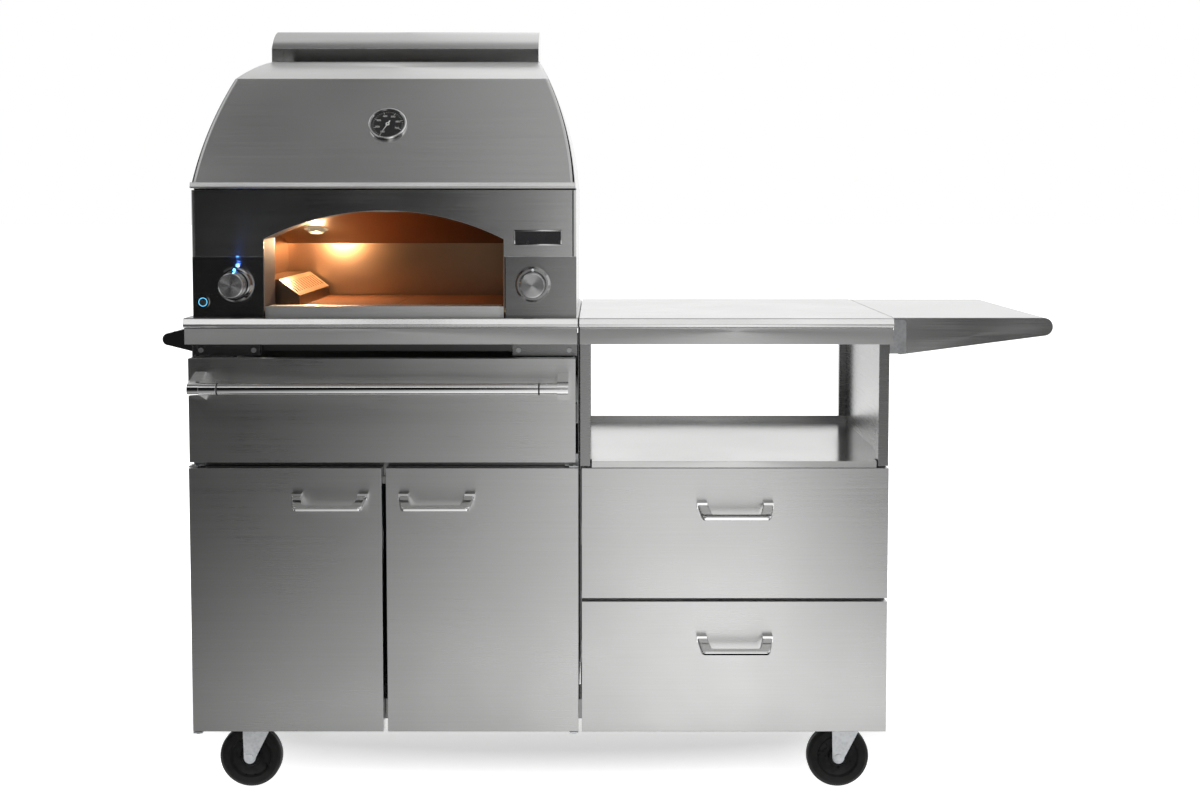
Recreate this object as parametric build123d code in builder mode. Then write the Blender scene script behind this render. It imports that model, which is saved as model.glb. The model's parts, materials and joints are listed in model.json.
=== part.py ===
"""Gas pizza oven on a stainless steel cart: two cabinets, drawers, doors, fold-down shelf and casters.

Millimetres, +Z up, the front faces -Y. The origin is under the middle of the whole cart, on the floor.
"""

import os
from math import cos, hypot, radians, sin, sqrt

from build123d import *

os.makedirs("parts", exist_ok=True)

# Sheet metal and clearances
sheet = 1.5
seam = 0.3
running_gap = 0.05
pass_gap = 0.5
bolt_gap = 0.2

# Cart widths, from left to right
push_handle_reach = 70
left_cabinet_width = 778
cabinet_gap = 3
right_cabinet_width = 618
side_shelf_reach = 320
left_overhang = 3
right_overhang = 2.5
side_inset = 4

# Cart depths, from the front face of the doors
bar_reach = 68
worktop_overhang = 22
worktop_nose = 12
cabinet_depth = 560
case_setback = 30
front_depth = 26
wide_front_depth = 28
drain_half = 20
drain_rise = 12
drain_slot = 8

# Cart heights
caster_height = 156
base_rail_height = 40
base_rail_width = 100
base_rail_wall = 2
door_drop = 15.5
door_height = 535
wide_gap = 12
wide_front_height = 207.5
apron_gap = 29
lower_front_height = 265.5
drawer_gap = 7
tray_rise = 0.5
worktop_edge = 20
apron_drop = 32
apron_setback = 7
nose_radius = 8
nose_lean = 5
nose_chamfer = 1.5

# Face frame
frame_bar = 20
mid_rail_drop = 20.5
mid_rail_rise = 12.5
top_rail_gap = 3
divider_drop = 10
divider_rise = 7
rear_post = 17
back_vent_columns = 2
back_vent_rows = 2
back_vent_share = 0.3
back_vent_slot = 10
tray_gap = 3
tray_setback = 2
post_drop = 8
catch_width = 40
catch_drop = 15

# Doors and their pivots
door_gap = 9
door_edge = 1
pivot_inset = 9
pivot_block = 18
pivot_depth = 15
pin_radius = 3
pin_length = 12
pin_head_radius = 5
pin_head = 2
bracket_plate = 3
bracket_gap = 1.5
bracket_leg = 23
lower_leg = 36

# Drawers and slides
drawer_edge = 3
wide_edge_left = 3
wide_edge_right = 6
slide_space = 13
slide_height = 45
slide_flange = 11
rail_height = 38
slide_setback = 34
slide_rear_gap = 56
box_rear_gap = 70
wide_tray_rise = 18.5
wide_tray_drop = 33
upper_box_rise = 19
upper_box_drop = 35.5
lower_box_rise = 10
lower_box_drop = 22

# Arched pulls
pull_width = 152
pull_foot = 20
pull_foot_height = 12
pull_foot_depth = 14
pull_out = 34
pull_drop = 18
pull_taper = 8
pull_bend = 10
pull_inner_bend = 4
pull_grip_width = 12
pull_grip_thick = 10
pull_edge = 3
pull_inset = 26
door_pull_drop = 49
drawer_pull_drop = 67

# Bar handles
bar_radius = 11.5
bar_inset = 13.5
bar_drop = 54
bar_bracket = 22
bar_bracket_base = 56
bar_collar = 12.5
bar_ring_inset = 57
bar_ring = 4
bar_ring_depth = 0.8
push_bar_inset = 70
push_bar_drop = 50

# Side shelf
shelf_gap = 2
shelf_front_setback = 4
shelf_back_overhang = 10
shelf_root_height = 73
shelf_nose_radius = 18
shelf_pivot_inset = 14
shelf_pin_radius = 4
shelf_pin_head = 7
shelf_boss = 9
shelf_boss_length = 8
ear_width = 24
ear_plate = 3
ear_flange = 44

# Casters
wheel_diameter = 127
wheel_width = 30
wheel_dish = 6
web_step = 4
rim_depth = 20
tread_round = 7
hub_radius = 17
hub_length = 35
axle_radius = 5
axle_head_radius = 9
axle_head = 5
fork_leg = 4
fork_side_gap = 0.5
fork_top_gap = 13
fork_plate = 6
fork_crown = 4
fork_crown_radius = 27
fork_toe = 12
fork_back = 14
fork_front = 54
caster_trail = 30
caster_plate_length = 92
caster_plate_width = 80
caster_plate = 4
caster_race_gap = 0.3
caster_race_radius = 24
kingpin_radius = 8
kingpin_head_radius = 13
kingpin_head = 4
caster_inset_left = 130
caster_inset_right = 58

# Oven body
oven_width = 762
oven_shift = 3.5
oven_rear_gap = 9
fascia_setback = 6
fascia_rise = 121
fascia_height = 135
fascia_return = 30
fascia_round = 9
panel_recess = 8
jamb_width = 144
mouth_spring_rise = 35
mouth_arch = 56
mouth_depth = 105
panel_gap = 3
sill_inset = 7
sill_depth = 46
sill_proud = 2
sill_height = 23
sill_cover = 4
hearth_drop = 14

# Hood and chimney
hood_nose = 4
hood_lip = 10
hood_gap = 3
hem_height = 12
hem_foot = 7
hem_edge = 2
hem_round = 2.5
hood_front_rise = 226
hood_front_run = 148
hood_roof_mid = 215
hood_roof_mid_rise = 271
hood_roof_rise = 288
hood_side_radius = 620
hood_side_drop = 36
hood_edge_radius = 10
cowl_inset = 88
cowl_depth = 122
cowl_rear_gap = 43
cowl_lip_rise = 20
cowl_height = 44
cowl_crown_run = 92
cowl_corner = 8
flue_inset = 111
flue_setback = 28
flue_width = 70

# Cavity
cavity_inset = 91
cavity_rear_gap = 23.8
ceiling_gap = 8
ceiling_fall = 88
cavity_sheet = 1.2
vent_inset = 110
vent_start = 20
vent_width = 40
stone_thick = 15
stone_inset = 5
stone_gap = 2
burner_inset = 40
burner_front = 44
burner_rear_gap = 39
burner_drop = 71
burner_tube = 12
burner_bore = 10.5
burner_hole = 13
burner_flange = 44
burner_bend = 60
burner_end_gap = 60
ledge = 15
side_burner_width = 96
side_burner_low = 22
side_burner_high = 55
side_burner_slope = 43
side_burner_start = 25
side_port = 8
side_port_share = 0.6
side_burner_rear_gap = 30
side_burner_ports = 12
lamp_inset = 98
lamp_cut = 20
lamp_rear_gap = 184
lamp_radius = 19
lamp_flange = 26
lamp_flange_thick = 3
lamp_dome = 8
lamp_body = 34
lamp_hole_gap = 1

# Gas, knobs and gauge
knob_inset = 86
knob_rise = 66
knob_radius = 24.5
knob_start = 6
knob_end = 48
knob_travel = 4
knob_fillet = 2.5
bezel_radius = 35
bezel_front_radius = 31
bezel_bore = 26.5
bezel_height = 13
stem_radius = 4
stem_flat = 3
stem_out = 34
stem_in = 30
stem_hole = 9
valve_width = 34
valve_start = 5
valve_end = 42
valve_height = 32
valve_boss = 12
pipe_radius = 6
pipe_setback = 20
pipe_rise = 14
elbow = 18
inlet_inset = 31
inlet_pipe = 7
inlet_radius = 13
inlet_bore = 9.3
inlet_length = 26
inlet_thread = 18
button_inset = 21
button_round = 0.8
button_rise = 31
button_radius = 9
button_cap = 3
button_start = 2.5
button_stem = 4
button_stem_length = 14
button_bezel_radius = 12
button_bezel_bore = 9.5
button_bezel_height = 4.5
gauge_rise_hood = 128
gauge_radius = 38.5
gauge_case = 7
gauge_floor = 1.5
gauge_bore = 33
gauge_lens_radius = 35
gauge_lens_seat = 5
gauge_lens = 1.5
gauge_dial = 1
gauge_post = 1.5
gauge_post_length = 2.2
gauge_probe = 5
gauge_probe_length = 80
needle_start = 0.8
needle_thick = 1
needle_hub = 4
needle_length = 25
needle_tail = 9
needle_width = 2.4
needle_rest = 207
badge_width = 94
badge_height = 30
badge_thick = 1.2
badge_inset = 76
badge_corner = 3
badge_rise = 38
screw_radius = 5
screw_head = 2.5
screw_inset = 40
screw_drop = 60
oven_screw_inset = 30
oven_screw_right = 60
oven_screw_drop = 20
rail_screw_inner = 12
rail_screw_outer = 16
rail_screw_drop = 2

# Shared places
overall_width = (
    push_handle_reach + left_cabinet_width + cabinet_gap + right_cabinet_width + side_shelf_reach
)
x_left = push_handle_reach - overall_width / 2
x_mid = x_left + left_cabinet_width
x_bay = x_mid + cabinet_gap
x_right = x_bay + right_cabinet_width
x_doors = (x_left + x_mid) / 2
wall_left = x_left + side_inset
wall_right = x_right - side_inset
worktop_reach = cabinet_depth + worktop_overhang
y_door = (bar_reach - worktop_reach) / 2
y_case = y_door + case_setback
y_back = y_door + cabinet_depth
y_nose = y_door - worktop_nose
y_worktop_back = y_door + worktop_reach
base_front = y_case + bracket_plate + 1
floor_height = caster_height + base_rail_height
door_bottom = caster_height - door_drop
door_top = door_bottom + door_height
wide_front_bottom = door_top + wide_gap
wide_front_top = wide_front_bottom + wide_front_height
apron_bottom = wide_front_top + apron_gap
counter_height = apron_bottom + apron_drop + worktop_edge
case_top = counter_height - sheet
lower_front_top = door_bottom + lower_front_height
upper_front_bottom = lower_front_top + drawer_gap
tray_height = wide_front_bottom + tray_rise
mid_rail_bottom = door_top - mid_rail_drop
mid_rail_top = wide_front_bottom + mid_rail_rise
top_rail_bottom = wide_front_top + top_rail_gap
divider_bottom = lower_front_top - divider_drop
divider_top = upper_front_bottom + divider_rise
post_bottom = tray_height - post_drop
slide_length = cabinet_depth - slide_setback - slide_rear_gap
box_depth = cabinet_depth - box_rear_gap
wide_tray_bottom = wide_front_bottom + wide_tray_rise
wide_tray_top = wide_front_top - wide_tray_drop
upper_box_bottom = upper_front_bottom + upper_box_rise
upper_box_top = door_top - upper_box_drop
lower_box_bottom = floor_height + lower_box_rise
lower_box_top = lower_front_top - lower_box_drop
bar_height = wide_front_top - bar_drop
push_bar_length = cabinet_depth - 2 * push_bar_inset
push_bar_height = counter_height - push_bar_drop
shelf_depth = cabinet_depth + shelf_back_overhang - shelf_front_setback
x_oven = (x_left + x_mid) / 2 + oven_shift
y_fascia = y_door + fascia_setback
oven_depth = cabinet_depth - fascia_setback - oven_rear_gap
fascia_bottom = counter_height + fascia_rise
hood_bottom = fascia_bottom + fascia_height
fascia_top = hood_bottom - hood_gap
mouth_spring = fascia_bottom + mouth_spring_rise
mouth_crown = mouth_spring + mouth_arch
y_panel = y_fascia + panel_recess
y_oven_back = y_fascia + oven_depth
oven_half = oven_width / 2
mouth_half = oven_half - jamb_width
sill_half = mouth_half - sill_inset
hood_roof_mid_run = oven_depth - hood_roof_mid
hood_side_centre = hood_bottom - hood_side_drop
cowl_width = oven_width - 2 * cowl_inset
cowl_back = oven_depth - cowl_rear_gap
cowl_front = cowl_back - cowl_depth
cowl_lip = hood_bottom + hood_roof_rise + cowl_lip_rise
cowl_top = cowl_lip + cowl_height
flue_half = oven_half - flue_inset
cavity_half = oven_half - cavity_inset
cavity_depth = oven_depth - mouth_depth - cavity_sheet - cavity_rear_gap
ceiling_front = mouth_crown + ceiling_gap
ceiling_back = ceiling_front - ceiling_fall
vent_half = cavity_half - vent_inset
burner_half = cavity_half - burner_inset
burner_back = oven_depth - burner_rear_gap
stone_half = burner_half - stone_inset
side_burner_end = cavity_depth - side_burner_rear_gap
lamp_offset = cavity_half - lamp_inset
lamp_run = cavity_depth - lamp_rear_gap
knob_offset = oven_half - knob_inset
knob_height = counter_height + knob_rise
pipe_height = counter_height + pipe_rise
inlet_offset = oven_half - inlet_inset
button_offset = oven_half - button_inset
button_height = counter_height + button_rise
gauge_height = hood_bottom + gauge_rise_hood
badge_offset = oven_half - badge_inset
badge_level = fascia_bottom + badge_rise
panel_half = mouth_half + panel_gap
y_cavity = y_fascia + mouth_depth + cavity_sheet
y_cavity_back = y_cavity + cavity_depth
stone_top = counter_height + hearth_drop
wheel_radius = wheel_diameter / 2
web_half = wheel_width / 2 - wheel_dish
rim_radius = wheel_radius - rim_depth


def block(x0, x1, y0, y1, z0, z1, mode=Mode.ADD):
    """A box between two corners."""
    with Locations(((x0 + x1) / 2, (y0 + y1) / 2, (z0 + z1) / 2)):
        Box(x1 - x0, y1 - y0, z1 - z0, mode=mode)


def rod(start, axis, radius, length, mode=Mode.ADD):
    """A cylinder from a start point along an axis."""
    with Locations(Plane(start, z_dir=axis)):
        Cylinder(radius, length, align=(Align.CENTER, Align.CENTER, Align.MIN), mode=mode)


def tube(x0, x1, y0, y1, z0, z1, axis):
    """A box section, open at both ends along an axis."""
    block(x0, x1, y0, y1, z0, z1)
    ix, iy, iz = (0 if axis == n else sheet for n in "xyz")
    block(x0 + ix, x1 - ix, y0 + iy, y1 - iy, z0 + iz, z1 - iz, mode=Mode.SUBTRACT)


def front(x0, x1, depth, z0, z1):
    """A double-skinned door or drawer front with drain slots in its back skin."""
    block(x0, x1, y_door, y_door + depth, z0, z1)
    block(
        x0 + sheet,
        x1 - sheet,
        y_door + sheet,
        y_door + depth - sheet,
        z0 + sheet,
        z1 - sheet,
        mode=Mode.SUBTRACT,
    )
    y_inner = y_door + depth
    slot = z0 + drain_rise
    for x in (x0 + (x1 - x0) / 4, x1 - (x1 - x0) / 4):
        block(
            x - drain_half,
            x + drain_half,
            y_inner - 2 * sheet,
            y_inner,
            slot,
            slot + drain_slot,
            mode=Mode.SUBTRACT,
        )


def pull_form():
    """The flat bow of a pull, lying in its own plane: two arms that narrow down to a grip."""
    half = pull_width / 2
    grip = hypot(pull_out, pull_drop)
    low = -grip - pull_grip_width / 2
    lintel = -grip + pull_grip_width / 2
    inner = half - pull_foot
    with BuildPart() as form:
        with BuildSketch() as outer:
            Polygon((-half, 0), (pull_taper - half, low), (half - pull_taper, low), (half, 0), align=None)
            fillet(outer.vertices().group_by(Axis.Y)[0], pull_bend)
        extrude(to_extrude=outer.sketch, amount=pull_grip_thick / 2, both=True)
        with BuildSketch() as window:
            Polygon(
                (-inner, 1),
                (pull_taper - inner, lintel),
                (inner - pull_taper, lintel),
                (inner, 1),
                align=None,
            )
            fillet(window.vertices().group_by(Axis.Y)[0], pull_inner_bend)
        extrude(to_extrude=window.sketch, amount=pull_grip_thick, both=True, mode=Mode.SUBTRACT)
        fillet(form.edges().filter_by(Axis.Z, reverse=True), pull_edge)
    return form


pull_bow = pull_form()


def pull(x, z):
    """A cast pull on the front plane: two feet, and a bow that leans out and down between them."""
    foot = (pull_width - pull_foot) / 2
    for at in (x - foot, x + foot):
        block(
            at - pull_foot / 2,
            at + pull_foot / 2,
            y_door - pull_foot_depth,
            y_door,
            z - pull_foot_height,
            z,
        )
    down = Plane(
        (x, y_door - pull_foot_depth / 2, z - pull_foot_height / 2),
        x_dir=(1, 0, 0),
        z_dir=(0, -pull_drop, pull_out),
    )
    with Locations(down):
        add(pull_bow.part)


def bar_handle(wall, length, reach):
    """A round bar on two tapered brackets. The wall plane has x along the bar and z out of the wall."""
    centre = reach - bar_collar
    for end in (-1, 1):
        root = wall.from_local_coords((end * (length / 2 - bar_bracket), 0, 0))
        side = Plane(root, x_dir=wall.z_dir, z_dir=wall.x_dir * end)
        rise = end * bar_bracket_base / 2
        with BuildSketch(side) as profile:
            Polygon(
                (0, -rise),
                (0, rise),
                (centre, end * bar_collar),
                (centre, -end * bar_collar),
                align=None,
            )
            with Locations((centre, 0)):
                Circle(bar_collar)
        extrude(to_extrude=profile.sketch, amount=bar_bracket)
    first = wall.from_local_coords((-length / 2, 0, centre))
    rod(first, wall.x_dir, bar_radius, length)
    for at in (bar_ring_inset, length - bar_ring_inset):
        ring = first + wall.x_dir * (at - bar_ring / 2)
        with BuildSketch(Plane(ring, z_dir=wall.x_dir)) as groove:
            Circle(bar_radius + 1)
            Circle(bar_radius - bar_ring_depth, mode=Mode.SUBTRACT)
        extrude(to_extrude=groove.sketch, amount=bar_ring, mode=Mode.SUBTRACT)


def arch(half, spring, crown, bottom):
    """The outline of the oven's mouth: straight jambs under a flat arch."""
    with BuildLine() as outline:
        Polyline((half, spring), (half, bottom), (-half, bottom), (-half, spring))
        ThreePointArc((-half, spring), (0, crown), (half, spring))
    make_face(outline.edges())


def oven_plane(y):
    """An upright plane across the oven, seen from the front."""
    return Plane((x_oven, y, 0), x_dir=(1, 0, 0), z_dir=(0, -1, 0))


def side_plane(x):
    """An upright plane along the oven: x runs back from the fascia, y is the height."""
    return Plane((x, y_fascia, 0), x_dir=(0, 1, 0), z_dir=(1, 0, 0))


# Base rails under both cabinets
y_rear_rail = y_back - sheet - base_rail_width
with BuildPart() as base_rails:
    for y in (base_front, y_rear_rail):
        block(wall_left + sheet, wall_right - sheet, y, y + base_rail_width, caster_height, floor_height)
        block(
            wall_left,
            wall_right,
            y + base_rail_wall,
            y + base_rail_width - base_rail_wall,
            caster_height + base_rail_wall,
            floor_height - base_rail_wall,
            mode=Mode.SUBTRACT,
        )
base_rails.part.label = "base_rails"
export_step(base_rails.part, "parts/base_rails.step")

# Walls, floors and backs of the two cabinets
with BuildPart() as cabinet_panels:
    for x, z in (
        (wall_left, caster_height),
        (x_mid - sheet, floor_height),
        (x_bay, floor_height),
        (wall_right - sheet, caster_height),
    ):
        block(x, x + sheet, y_case, y_back, z, case_top)
    for x0, x1, top in (
        (wall_left + sheet + seam, x_mid - sheet - seam, top_rail_bottom),
        (x_bay + sheet + seam, wall_right - sheet - seam, tray_height - 2 * frame_bar),
    ):
        block(x0, x1, base_front, y_back - sheet - seam, floor_height, floor_height + sheet)
        block(x0, x1, y_back - sheet, y_back, caster_height + seam, top)
        middle = ((x0 + x1) / 2, y_back, (floor_height + top) / 2)
        with BuildSketch(Plane(middle, x_dir=(-1, 0, 0), z_dir=(0, 1, 0))) as vents:
            pitch = (x1 - x0) / (back_vent_columns + 1)
            rise = (top - floor_height) / (back_vent_rows + 1)
            with GridLocations(pitch, rise, back_vent_columns, back_vent_rows):
                SlotOverall(pitch * back_vent_share, back_vent_slot)
        extrude(to_extrude=vents.sketch, amount=-2 * sheet, mode=Mode.SUBTRACT)
cabinet_panels.part.label = "cabinet_panels"
export_step(cabinet_panels.part, "parts/cabinet_panels.step")

# Face frame: rails behind the doors and drawers, posts of the open bay
x_short = x_oven - burner_half - 2 * sheet
x_rail_end = x_mid - cabinet_gap / 2 - sheet
with BuildPart() as face_frame:
    tube(
        wall_left + sheet,
        x_mid - sheet,
        y_case + bracket_plate - 1,
        y_case + bracket_plate - 1 + frame_bar,
        mid_rail_bottom,
        mid_rail_top,
        "x",
    )
    block(
        x_doors - catch_width / 2,
        x_doors + catch_width / 2,
        y_door + front_depth + pass_gap,
        y_case + bracket_plate - 1 + frame_bar,
        mid_rail_bottom - catch_drop,
        mid_rail_bottom,
    )
    tube(wall_left + sheet, x_short, y_case, y_case + frame_bar, top_rail_bottom, case_top, "x")
    tube(2 * x_oven - x_short, x_rail_end, y_case, y_case + frame_bar, top_rail_bottom, case_top, "x")
    tube(
        x_bay + sheet,
        wall_right - sheet,
        y_case + 2,
        y_case + 2 + frame_bar,
        divider_bottom,
        divider_top,
        "x",
    )
    for x in (x_bay, wall_right - frame_bar):
        tube(x, x + frame_bar, y_door + 2, y_case, post_bottom, apron_bottom, "z")
    for x in (x_bay + sheet, wall_right - sheet - rear_post):
        tube(x, x + rear_post, y_back - rear_post, y_back, tray_height + 2 * sheet, case_top, "z")
face_frame.part.label = "face_frame"
export_step(face_frame.part, "parts/face_frame.step")

# Tray that makes the floor of the open bay
y_tray_back = y_back - rear_post - 1
tray_top = tray_height + sheet
with BuildPart() as shelf_tray:
    block(x_bay + sheet, wall_right - sheet, y_case + 1, y_tray_back, tray_height, tray_top)
    x0 = x_bay + frame_bar + tray_gap
    x1 = wall_right - frame_bar - tray_gap
    y_lip = y_door + tray_setback
    block(x0, x1, y_lip, y_case + 1, tray_height, tray_top)
    block(x0, x1, y_lip, y_lip + sheet, door_top + 1, tray_top)
    block(
        x_bay + sheet,
        wall_right - sheet,
        y_tray_back - sheet,
        y_tray_back,
        tray_height,
        tray_top + rear_post,
    )
shelf_tray.part.label = "shelf_tray"
export_step(shelf_tray.part, "parts/shelf_tray.step")


def worktop(x0, x1, flange_left, flange_right):
    """A folded top with a leaning front edge that is rounded underneath, and an apron under it."""
    underside = counter_height - worktop_edge
    y_brow = y_nose + nose_lean
    with BuildSketch(Plane((x0, 0, 0), x_dir=(0, 1, 0), z_dir=(1, 0, 0))) as profile:
        with BuildLine() as edge:
            Polyline(
                (y_nose + nose_radius, underside),
                (y_worktop_back, underside),
                (y_worktop_back, counter_height),
                (y_brow + nose_chamfer, counter_height),
                (y_brow, counter_height - nose_chamfer),
                (y_nose, underside + nose_radius),
            )
            RadiusArc((y_nose, underside + nose_radius), (y_nose + nose_radius, underside), -nose_radius)
        make_face(edge.edges())
    extrude(to_extrude=profile.sketch, amount=x1 - x0)
    block(
        x0 + sheet,
        x1 - sheet,
        y_nose + worktop_nose,
        y_worktop_back - sheet,
        counter_height - worktop_edge - 1,
        case_top,
        mode=Mode.SUBTRACT,
    )
    y_apron = y_nose + apron_setback
    block(x0 + 1, x1 - 1, y_apron, y_apron + sheet, apron_bottom, counter_height - worktop_edge + 2)
    block(flange_left, flange_right, y_apron, y_case, apron_bottom, apron_bottom + sheet)


# Left worktop, cut out for the burner box that hangs under the oven
with BuildPart() as left_worktop:
    worktop(x_left - left_overhang, x_mid - cabinet_gap / 2, wall_left, x_mid - cabinet_gap)
    block(
        x_oven - burner_half - sheet,
        x_oven + burner_half + sheet,
        y_fascia + burner_front - sheet,
        y_fascia + burner_back + sheet,
        case_top - 1,
        counter_height + 1,
        mode=Mode.SUBTRACT,
    )
left_worktop.part.label = "left_worktop"
export_step(left_worktop.part, "parts/left_worktop.step")

with BuildPart() as right_worktop:
    worktop(x_bay - cabinet_gap / 2, x_right + right_overhang, x_bay, wall_right)
right_worktop.part.label = "right_worktop"
export_step(right_worktop.part, "parts/right_worktop.step")

# Slide channels: (wall face, side it opens to, middle height)
wide_slide = (wide_tray_bottom + wide_tray_top) / 2
upper_slide = (upper_box_bottom + upper_box_top) / 2
lower_slide = (lower_box_bottom + lower_box_top) / 2
slides = [(wall_left + sheet, 1, wide_slide), (x_mid - sheet, -1, wide_slide)]
for level in (upper_slide, lower_slide):
    slides += [(x_bay + sheet, 1, level), (wall_right - sheet, -1, level)]
y_slide = y_door + slide_setback
with BuildPart() as slide_channels:
    for face, way, level in slides:
        low, high = level - slide_height / 2, level + slide_height / 2
        web = sorted((face, face + way * sheet))
        lip = sorted((face, face + way * slide_flange))
        block(web[0], web[1], y_slide, y_slide + slide_length, low, high)
        block(lip[0], lip[1], y_slide, y_slide + slide_length, low, low + sheet)
        block(lip[0], lip[1], y_slide, y_slide + slide_length, high - sheet, high)
slide_channels.part.label = "slide_channels"
export_step(slide_channels.part, "parts/slide_channels.step")

# Door pivots: L brackets on the frame, pins that hang from them into the doors
y_pivot = y_door + pivot_inset
pivots = (x_left + door_edge + pivot_inset, x_mid - door_edge - pivot_inset)
upper_tab = door_top + bracket_gap
lower_tab = door_bottom - bracket_gap - bracket_plate
x_shelf_root = x_right + right_overhang + shelf_gap
x_shelf_pivot = x_shelf_root + shelf_pivot_inset
z_shelf_pivot = counter_height - shelf_root_height + shelf_pivot_inset
y_shelf = y_door + shelf_front_setback
y_shelf_back = y_shelf + shelf_depth
ears = ((y_shelf - pass_gap, -1), (y_shelf_back + pass_gap, 1))
with BuildPart() as hinge_brackets:
    for x, x0, x1 in (
        (pivots[0], wall_left + sheet, pivots[0] + 2 * pivot_inset),
        (pivots[1], pivots[1] - 2 * pivot_inset, x_mid - sheet),
    ):
        for tab, leg, y_leg in (
            (upper_tab, bracket_leg, y_case + bracket_plate - 1),
            (lower_tab, lower_leg, base_front),
        ):
            block(x - pivot_inset, x + pivot_inset, y_door + 1, y_case - seam, tab, tab + bracket_plate)
            block(x0, x1, y_pivot + pivot_inset, y_leg, tab, tab + bracket_plate)
            block(x0, x1, y_leg - bracket_plate, y_leg, tab, tab + leg)
            hole = pin_radius + bolt_gap
            rod((x, y_pivot, tab - 1), (0, 0, 1), hole, bracket_plate + 2, Mode.SUBTRACT)
    for y, way in ears:
        y0, y1 = sorted((y, y + way * ear_plate))
        low, high = counter_height - shelf_root_height + 2, counter_height - 4
        under = counter_height - worktop_edge - 4
        x_ear = x_shelf_root + ear_width
        with BuildSketch(Plane((0, y1, 0), x_dir=(1, 0, 0), z_dir=(0, -1, 0))) as ear:
            Polygon(
                (wall_right, low),
                (x_ear, low),
                (x_ear, high),
                (x_shelf_root, high),
                (x_shelf_root, under),
                (wall_right, under),
                align=None,
            )
            with Locations((x_shelf_pivot, z_shelf_pivot)):
                Circle(shelf_pin_radius + bolt_gap, mode=Mode.SUBTRACT)
            corners = ear.vertices().group_by(Axis.X)[-1]
            fillet(corners, ear_width / 4)
        extrude(to_extrude=ear.sketch, amount=ear_plate)
        f0, f1 = sorted((y + way * ear_plate, y - way * (ear_flange - ear_plate)))
        block(wall_right, wall_right + ear_plate, f0, f1, low, under)
hinge_brackets.part.label = "hinge_brackets"
export_step(hinge_brackets.part, "parts/hinge_brackets.step")

with BuildPart() as hinge_pins:
    for x in pivots:
        top = upper_tab + bracket_plate
        rod((x, y_pivot, door_top - pin_length), (0, 0, 1), pin_radius, top - door_top + pin_length)
        rod((x, y_pivot, top), (0, 0, 1), pin_head_radius, pin_head)
        rod((x, y_pivot, lower_tab), (0, 0, 1), pin_radius, door_bottom + pin_length - lower_tab)
        rod((x, y_pivot, lower_tab - pin_head), (0, 0, 1), pin_head_radius, pin_head)
    for y, way in ears:
        outer = y + way * ear_plate
        at = (x_shelf_pivot, outer, z_shelf_pivot)
        rod(at, (0, -way, 0), shelf_pin_radius, ear_plate + pass_gap + shelf_boss_length)
        rod(at, (0, way, 0), shelf_pin_head, pin_head)
hinge_pins.part.label = "hinge_pins"
export_step(hinge_pins.part, "parts/hinge_pins.step")

# Casters: plate, race and kingpin stay on the cart
caster_spots = {
    "front_left": (x_left + caster_inset_left, base_front + base_rail_width / 2),
    "front_right": (x_right - caster_inset_right, base_front + base_rail_width / 2),
    "rear_left": (x_left + caster_inset_left, y_rear_rail + base_rail_width / 2),
    "rear_right": (x_right - caster_inset_right, y_rear_rail + base_rail_width / 2),
}
fork_roof = wheel_diameter + fork_top_gap
crown_top = fork_roof + fork_plate + fork_crown
plate_bottom = caster_height - caster_plate
with BuildPart() as caster_plates:
    for x, y in caster_spots.values():
        block(
            x - caster_plate_length / 2,
            x + caster_plate_length / 2,
            y - caster_plate_width / 2,
            y + caster_plate_width / 2,
            plate_bottom,
            caster_height,
        )
        race = crown_top + caster_race_gap
        rod((x, y, race), (0, 0, 1), caster_race_radius, plate_bottom - race)
        kingpin_foot = fork_roof - caster_race_gap
        rod((x, y, kingpin_foot), (0, 0, 1), kingpin_radius, race - kingpin_foot)
        rod((x, y, fork_roof - caster_race_gap), (0, 0, -1), kingpin_head_radius, kingpin_head)
caster_plates.part.label = "caster_plates"
export_step(caster_plates.part, "parts/caster_plates.step")

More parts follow.
